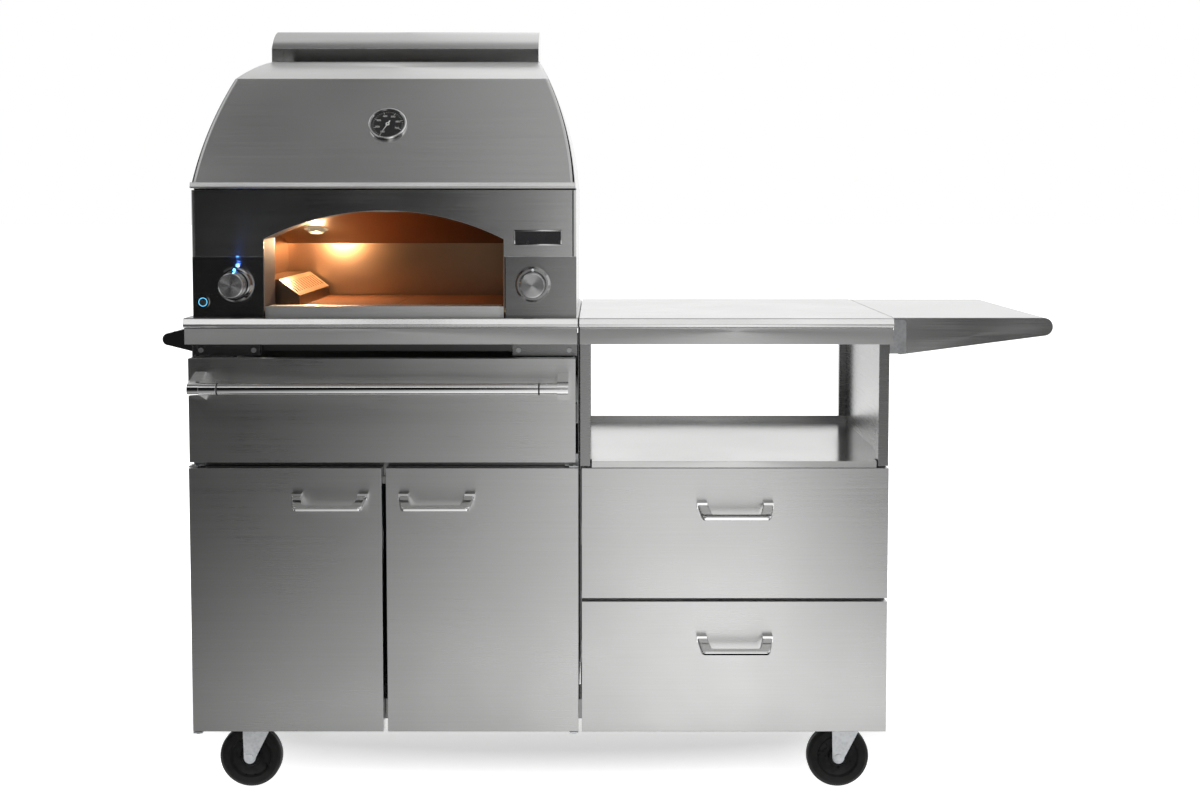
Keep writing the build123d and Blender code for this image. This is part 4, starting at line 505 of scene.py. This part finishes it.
dress(clear_glass("gauge_glass"), "thermometer_lens")
dress(badge_black, "badge_plate")
dress(lit_bulb("lamp_glow", (1.0, 0.80, 0.52), "cavity_lamp", strength=3.0), "cavity_lamp")
for knob, tone in (("left_knob", 0.62), ("right_knob", 0.62), ("light_button", 0.2)):
    dress(spun(f"{knob}_turned", (tone, tone, tone), knob), knob)
for corner in corners:
    wheel = f"caster_wheel_{corner}"
    dress(wheel_rubber(f"{wheel}_rubber", wheel), wheel)


def piece(name, mesh, body, material):
    """A fitted piece that rides on a body."""
    mesh.materials.append(material)
    made = bpy.data.objects.new(name, mesh)
    bpy.context.scene.collection.objects.link(made)
    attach(made, body)


def bevelled_box(size, bevel, place):
    """A small block with rounded edges."""
    form = bmesh.new()
    bmesh.ops.create_cube(form, size=1, matrix=Matrix.Diagonal((*size, 1)))
    bmesh.ops.bevel(form, geom=form.edges[:], offset=bevel, segments=2, affect="EDGES", profile=0.5)
    form.transform(place)
    return form


def to_mesh(name, *forms):
    """One mesh from several forms."""
    mesh = bpy.data.meshes.new(name)
    whole = bmesh.new()
    for form in forms:
        part = bpy.data.meshes.new("part")
        form.to_mesh(part)
        whole.from_mesh(part)
        bpy.data.meshes.remove(part)
        form.free()
    bmesh.ops.recalc_face_normals(whole, faces=whole.faces[:])
    for face in whole.faces:
        face.smooth = True
    whole.to_mesh(mesh)
    whole.free()
    mesh.set_sharp_from_angle(angle=math.radians(sharp_angle))
    return mesh


def circle(form, reach, height, count):
    """Points on a level circle."""
    turns = [2 * math.pi * i / count for i in range(count)]
    return [form.verts.new((reach * math.cos(turn), reach * math.sin(turn), height)) for turn in turns]


def ring(major, minor, place, around=96, across=16):
    """A round ring about its own Z axis."""
    form = bmesh.new()
    rows = []
    for i in range(around):
        turn = 2 * math.pi * i / around
        row = []
        for j in range(across):
            bend = 2 * math.pi * j / across
            reach = major + minor * math.cos(bend)
            point = (reach * math.cos(turn), reach * math.sin(turn), minor * math.sin(bend))
            row.append(form.verts.new(point))
        rows.append(row)
    for i in range(around):
        for j in range(across):
            after, above = (i + 1) % around, (j + 1) % across
            form.faces.new((rows[i][j], rows[after][j], rows[after][above], rows[i][above]))
    form.transform(place)
    return form


def dome(radius, rise, place, around=32, across=8):
    """A low dome on its own XY plane, closed underneath."""
    form = bmesh.new()
    lifts = [math.pi / 2 * j / across for j in range(across)]
    rows = [circle(form, radius * math.cos(lift), rise * math.sin(lift), around) for lift in lifts]
    top = form.verts.new((0, 0, rise))
    form.faces.new(reversed(rows[0]))
    for j in range(across - 1):
        for i in range(around):
            after = (i + 1) % around
            form.faces.new((rows[j][i], rows[j][after], rows[j + 1][after], rows[j + 1][i]))
    for i in range(around):
        form.faces.new((rows[-1][i], rows[-1][(i + 1) % around], top))
    form.transform(place)
    return form


# Turns that lay a form's own Z axis toward the front, or along the cart
toward_front = Matrix.Rotation(math.radians(90), 4, "X")
along_cart = Matrix.Rotation(math.radians(90), 4, "Y")


def control_lights():
    """A lens in each control ring above its knob, lit blue on the left, and the lit ring round the button."""
    bezel_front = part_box("control_bezels")[0].y
    lit = glowing("led_blue", (0.06, 0.30, 1.0), strength=7.0)
    unlit = enamel("led_clear", (0.80, 0.84, 0.86), rough=0.12)
    for side, material in (("left", lit), ("right", unlit)):
        low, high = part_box(f"{side}_knob")
        spot = Vector(((low.x + high.x) / 2, bezel_front, (low.z + high.z) / 2 + led_above_knob))
        form = dome(led_radius, led_rise, Matrix.Translation(spot) @ toward_front)
        piece(f"{side}_knob_led", to_mesh("led", form), "cart", material)
    low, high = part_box("light_button")
    spot = Vector(((low.x + high.x) / 2, low.y, (low.z + high.z) / 2))
    reach = button_ring_radius - button_ring_tube
    form = ring(reach, button_ring_tube, Matrix.Translation(spot) @ toward_front)
    cyan = glowing("ring_cyan", (0.12, 0.55, 0.9), strength=1.1)
    piece("button_light_ring", to_mesh("button_ring", form), "light_button", cyan)


def dial_plane():
    """The gauge's own frame: Z out of the dial, Y up it."""
    joint = joints["needle_turn"]
    out = -Vector(joint["axis"]).normalized()
    right = Vector((1, 0, 0))
    place = Matrix((right, out.cross(right), out)).transposed().to_4x4()
    place.translation = Vector(joint["pos_m"]) + out * dial_face_height
    return place


def dial_ticks(place):
    """Ticks round the dial, longer and wider at each number."""
    forms = []
    steps = (dial_numbers - 1) * dial_ticks_per_number
    for step in range(steps + 1):
        turn = -math.radians(dial_sweep_start + dial_sweep * step / steps)
        at_number = step % dial_ticks_per_number == 0
        long = dial_tick_long if at_number else dial_tick_short
        wide = dial_tick_wide if at_number else dial_tick_wide / 2
        at = Matrix.Translation((0, dial_tick_outer - long / 2, dial_mark_lift / 2))
        size = (wide, long, dial_mark_lift)
        forms.append(bevelled_box(size, dial_mark_lift / 4, place @ Matrix.Rotation(turn, 4, "Z") @ at))
    piece("dial_ticks", to_mesh("dial_ticks", *forms), "cart", mark_white)


def dial_figures(place):
    """Plain numbers inside the ticks."""
    for step in range(dial_numbers):
        turn = math.radians(dial_sweep_start + dial_sweep * step / (dial_numbers - 1))
        text = bpy.data.curves.new(f"dial_number_{step}", "FONT")
        text.body = str(dial_number_step * (step + 1))
        text.size = dial_number_size
        text.align_x = "CENTER"
        text.align_y = "CENTER"
        text.extrude = dial_mark_lift / 2
        text.materials.append(mark_white)
        made = bpy.data.objects.new(f"dial_number_{step}", text)
        bpy.context.scene.collection.objects.link(made)
        at = (dial_number_radius * math.sin(turn), dial_number_radius * math.cos(turn), dial_mark_lift / 2)
        made.matrix_world = place @ Matrix.Translation(at)
        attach(made, "cart")


def bar_ring(name, spot, turned, body):
    """A dark ring in a bar's groove."""
    reach = bar_ring_radius - bar_ring_tube / 2
    form = ring(reach, bar_ring_tube, Matrix.Translation(spot) @ turned)
    piece(name, to_mesh("bar_ring", form), body, black_groove_ring)


def bar_rings():
    """The rings near both ends of the wide drawer's bar and of the push bar."""
    low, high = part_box("wide_drawer_handle")
    middle = Vector(((low.x + high.x) / 2, low.y + bar_radius, (low.z + high.z) / 2))
    half = (high.x - low.x) / 2 - bar_ring_inset
    for side, way in (("left", -1), ("right", 1)):
        bar_ring(f"wide_bar_ring_{side}", middle + Vector((way * half, 0, 0)), along_cart, "wide_drawer")
    low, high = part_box("push_handle")
    middle = Vector((low.x + bar_radius, (low.y + high.y) / 2, (low.z + high.z) / 2))
    half = (high.y - low.y) / 2 - bar_ring_inset
    for side, way in (("front", -1), ("rear", 1)):
        bar_ring(f"push_bar_ring_{side}", middle + Vector((0, way * half, 0)), toward_front, "cart")


def badge_frame():
    """A polished rim round the blank plate."""
    low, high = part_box("badge_plate")
    forms = []
    spans = (
        ((low.x, high.x), (low.z, low.z + badge_rim)),
        ((low.x, high.x), (high.z - badge_rim, high.z)),
        ((low.x, low.x + badge_rim), (low.z + badge_rim, high.z - badge_rim)),
        ((high.x - badge_rim, high.x), (low.z + badge_rim, high.z - badge_rim)),
    )
    for (x0, x1), (z0, z1) in spans:
        size = (x1 - x0, badge_rim_rise, z1 - z0)
        at = Matrix.Translation(((x0 + x1) / 2, low.y - badge_rim_rise / 2, (z0 + z1) / 2))
        forms.append(bevelled_box(size, badge_rim_rise / 4, at))
    piece("badge_rim", to_mesh("badge_rim", *forms), "cart", bright_steel)


control_lights()
dial_ticks(dial_plane())
dial_figures(dial_plane())
bar_rings()
badge_frame()


def area_light(name, place, target, size, energy):
    """A soft square lamp aimed at a point, which polished metal doesn't see."""
    light = bpy.data.lights.new(name, "AREA")
    light.shape = "RECTANGLE"
    light.size, light.size_y = size, size
    light.energy = energy
    made = bpy.data.objects.new(name, light)
    made.location = place
    made.rotation_mode = "QUATERNION"
    made.rotation_quaternion = (Vector(target) - Vector(place)).to_track_quat("-Z", "Y")
    bpy.context.scene.collection.objects.link(made)
    made.visible_glossy = False


def point_light(name, place, energy, color, radius):
    """A small lamp in the object."""
    light = bpy.data.lights.new(name, "POINT")
    light.energy = energy
    light.color = color
    light.shadow_soft_size = radius
    made = bpy.data.objects.new(name, light)
    made.location = place
    bpy.context.scene.collection.objects.link(made)


def flat_card(name, corner, along, up, material):
    """A flat sheet of the studio, from one corner along two edges."""
    a, b, c = Vector(corner), Vector(along), Vector(up)
    mesh = bpy.data.meshes.new(name)
    mesh.from_pydata([a, a + b, a + b + c, a + c], [], [(0, 1, 2, 3)])
    uv = mesh.uv_layers.new(name="span")
    for loop, place in zip(uv.data, ((0, 0), (1, 0), (1, 1), (0, 1))):
        loop.uv = place
    mesh.materials.append(material)
    made = bpy.data.objects.new(name, mesh)
    bpy.context.scene.collection.objects.link(made)
    return made


def graded_card(name, corner, along, up, tones, strength=1.0):
    """A studio card that only polished metal sees: its tone runs from one end to the other."""
    mat = bpy.data.materials.new(name)
    mat.use_nodes = True
    tree = mat.node_tree
    tree.nodes.clear()
    uv = add(tree, "UVMap", uv_map="span")
    parts = add(tree, "SeparateXYZ")
    tree.links.new(uv.outputs["UV"], parts.inputs[0])
    tone = ramp(tree, parts.outputs["X"], [(place, (value, value, value)) for place, value in tones])
    glow = add(tree, "Emission")
    glow.inputs["Strength"].default_value = strength
    tree.links.new(tone, glow.inputs["Color"])
    out = add(tree, "OutputMaterial")
    tree.links.new(glow.outputs[0], out.inputs["Surface"])
    card = flat_card(name, corner, along, up, mat)
    card.visible_camera = False
    card.visible_diffuse = False
    card.visible_shadow = False
    card.visible_transmission = False


def seen_by(tree, *rays):
    """One for these kinds of ray, and nought for the others."""
    path = add(tree, "LightPath")
    seen = path.outputs[rays[0]]
    for ray in rays[1:]:
        seen = math_node(tree, "MAXIMUM", seen, path.outputs[ray])
    return seen


def surround():
    """A white world that lights the cart less than it shows."""
    scene = bpy.context.scene
    scene.view_settings.view_transform = "Standard"
    world = bpy.data.worlds.new("studio")
    scene.world = world
    world.use_nodes = True
    tree = world.node_tree
    tree.nodes.clear()
    seen = seen_by(tree, "Is Camera Ray", "Is Glossy Ray", "Is Transmission Ray")
    background = add(tree, "Background")
    background.inputs["Color"].default_value = (1, 1, 1, 1)
    tree.links.new(remap(tree, seen, 0.55, 1.0, 0, 1), background.inputs["Strength"])
    out = add(tree, "OutputWorld")
    tree.links.new(background.outputs[0], out.inputs["Surface"])


def pale_floor():
    """A floor that takes the cart's real shadow and glows a little, more so away from the cart, so that its
    weaker glow round the cart is a painted shadow.
    """
    mat, tree, bsdf = new_material("studio_floor")
    stops = ((0, (0.90, 0.90, 0.90)), (1, (0.93, 0.93, 0.93)))
    tree.links.new(ramp(tree, noise(tree, (3, 3, 3)), stops), bsdf.inputs["Base Color"])
    bsdf.inputs["Roughness"].default_value = 0.9
    bsdf.inputs["Specular IOR Level"].default_value = 0.1
    bsdf.inputs["Emission Color"].default_value = (1, 1, 1, 1)
    seen = seen_by(tree, "Is Camera Ray", "Is Glossy Ray")
    # Painted shadow: the glow is weakest close to the cart and grows away from it
    reach = reach_from(tree, painted_shadow_middle, painted_shadow_stretch)
    glow = remap(tree, reach, floor_glow_in_painted_shadow, floor_glow_past_painted_shadow, painted_shadow_inner_reach, painted_shadow_outer_reach)
    tree.links.new(math_node(tree, "MULTIPLY", seen, glow), bsdf.inputs["Emission Strength"])
    flat_card("floor", (-floor_half, -floor_half, 0), (2 * floor_half, 0, 0), (0, 2 * floor_half, 0), mat)


def floor_cards():
    """Cards on the floor, one behind the other, from the front wall to under the cart's front."""
    far = (
        (0.0, 0.4), (0.22, 0.35), (0.28, 0.005), (0.34, 0.005), (0.38, 0.06),
        (0.455, 0.5), (0.49, 0.85), (0.54, 1.0), (0.6, 0.36), (0.72, 0.06),
    )
    middle = (
        (0.0, 0.4), (0.24, 0.35), (0.31, 0.02), (0.38, 0.02), (0.44, 0.25),
        (0.49, 0.58), (0.53, 1.0), (0.548, 0.95), (0.575, 0.3), (0.75, 0.1),
    )
    near = (
        (0.0, 0.4), (0.27, 0.35), (0.34, 0.14), (0.40, 0.14), (0.42, 0.26),
        (0.494, 0.72), (0.517, 0.97), (0.546, 0.88), (0.6, 0.58), (1.0, 0.3),
    )
    dark = ((0.0, 0.01), (1.0, 0.01))
    front = -room
    for name, depth, tones, strength in (
        ("far_floor_card", far_depth, far, 1.2),
        ("mid_floor_card", middle_depth, middle, 1.45),
        ("near_floor_card", near_depth, near, 1.6),
        ("dark_floor_card", dark_depth, dark, 1.0),
    ):
        graded_card(name, (-room, front, card_lift), (2 * room, 0, 0), (0, depth, 0), tones, strength)
        front += depth


def ceiling_cards():
    """A bright strip near the front wall, and two cards behind it."""
    strip = ((0.0, 1.0), (1.0, 1.0))
    over = ((0.27, 0.75), (0.31, 0.14), (0.41, 0.22), (0.457, 0.36), (0.49, 0.54), (0.6, 0.72), (1.0, 0.85))
    rear = ((0.0, 0.5), (0.36, 0.6), (0.48, 1.0), (1.0, 1.0))
    strip_front = strip_inset - room
    over_front = strip_front + strip_depth
    for name, front, back, tones, strength in (
        ("strip_card", strip_front, over_front, strip, 1.5),
        ("overhead_card", over_front, overhead_end, over, 1.0),
        ("overhead_rear_card", overhead_end, room, rear, 1.15),
    ):
        graded_card(name, (-room, front, room), (2 * room, 0, 0), (0, back - front, 0), tones, strength)


def cards():
    """Graded cards round the cart for the metal to reflect."""
    up = (0, 0, room)
    front = ((0.42, 0.01), (0.455, 0.07), (0.475, 0.25), (0.495, 0.6), (0.53, 0.6), (0.6, 0.3), (0.66, 0.04))
    right = ((0.0, 0.05), (0.12, 0.3), (0.22, 0.85), (1.0, 0.85))
    back = ((0.0, 0.9), (0.53, 1.0), (0.66, 0.55), (1.0, 0.35))
    left = ((0.0, 0.8), (0.42, 0.6), (0.48, 0.03), (1.0, 0.02))
    graded_card("front_card", (-room, -room, 0), (2 * room, 0, 0), up, front)
    floor_cards()
    ceiling_cards()
    graded_card("right_card", (room, -room, 0), (0, 2 * room, 0), up, right)
    graded_card("back_card", (room, room, 0), (-2 * room, 0, 0), up, back, 1.12)
    graded_card("left_card", (-room, room, 0), (0, -2 * room, 0), up, left)


def lamps():
    """Soft lamps round the cart."""
    area_light("key", (2.6, -3.4, 3.2), target=(0, 0, 0.7), size=2.0, energy=60)
    area_light("fill", (-3.0, -2.4, 2.4), target=(0, 0, 0.7), size=2.0, energy=16)
    area_light("top", (0, 0.4, 4.2), target=(0, 0, 0.6), size=3.0, energy=50)
    area_light("rear", (-1.5, 3.8, 2.6), target=(0, 0, 0.7), size=2.0, energy=30)


def inner_lights():
    """The warm cavity lamp and the blue lens of the lit control."""
    low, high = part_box("cavity_lamp")
    spot = ((low.x + high.x) / 2, (low.y + high.y) / 2 - bulb_forward, low.z - bulb_drop)
    point_light("cavity_bulb", spot, energy=2.3, color=(1.0, 0.64, 0.36), radius=bulb_radius)
    low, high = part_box("left_knob")
    bezel_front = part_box("control_bezels")[0].y
    spot = ((low.x + high.x) / 2, bezel_front - led_lamp_forward, (low.z + high.z) / 2 + led_lamp_above_knob)
    point_light("led_light", spot, energy=0.05, color=(0.06, 0.22, 1.0), radius=led_lamp_radius)


def camera():
    """The photograph's viewpoint."""
    door_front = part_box("left_door")[0].y
    data = bpy.data.cameras.new("camera")
    data.sensor_width = sensor_width
    data.lens = sensor_width * focal_px / image_width
    data.shift_y = -lens_shift
    made = bpy.data.objects.new("camera", data)
    made.location = (camera_side, door_front - camera_distance, camera_height)
    made.rotation_euler = (math.radians(90 - camera_tilt), 0, 0)
    bpy.context.scene.collection.objects.link(made)
    bpy.context.scene.camera = made


surround()
pale_floor()
cards()
lamps()
inner_lights()
camera()
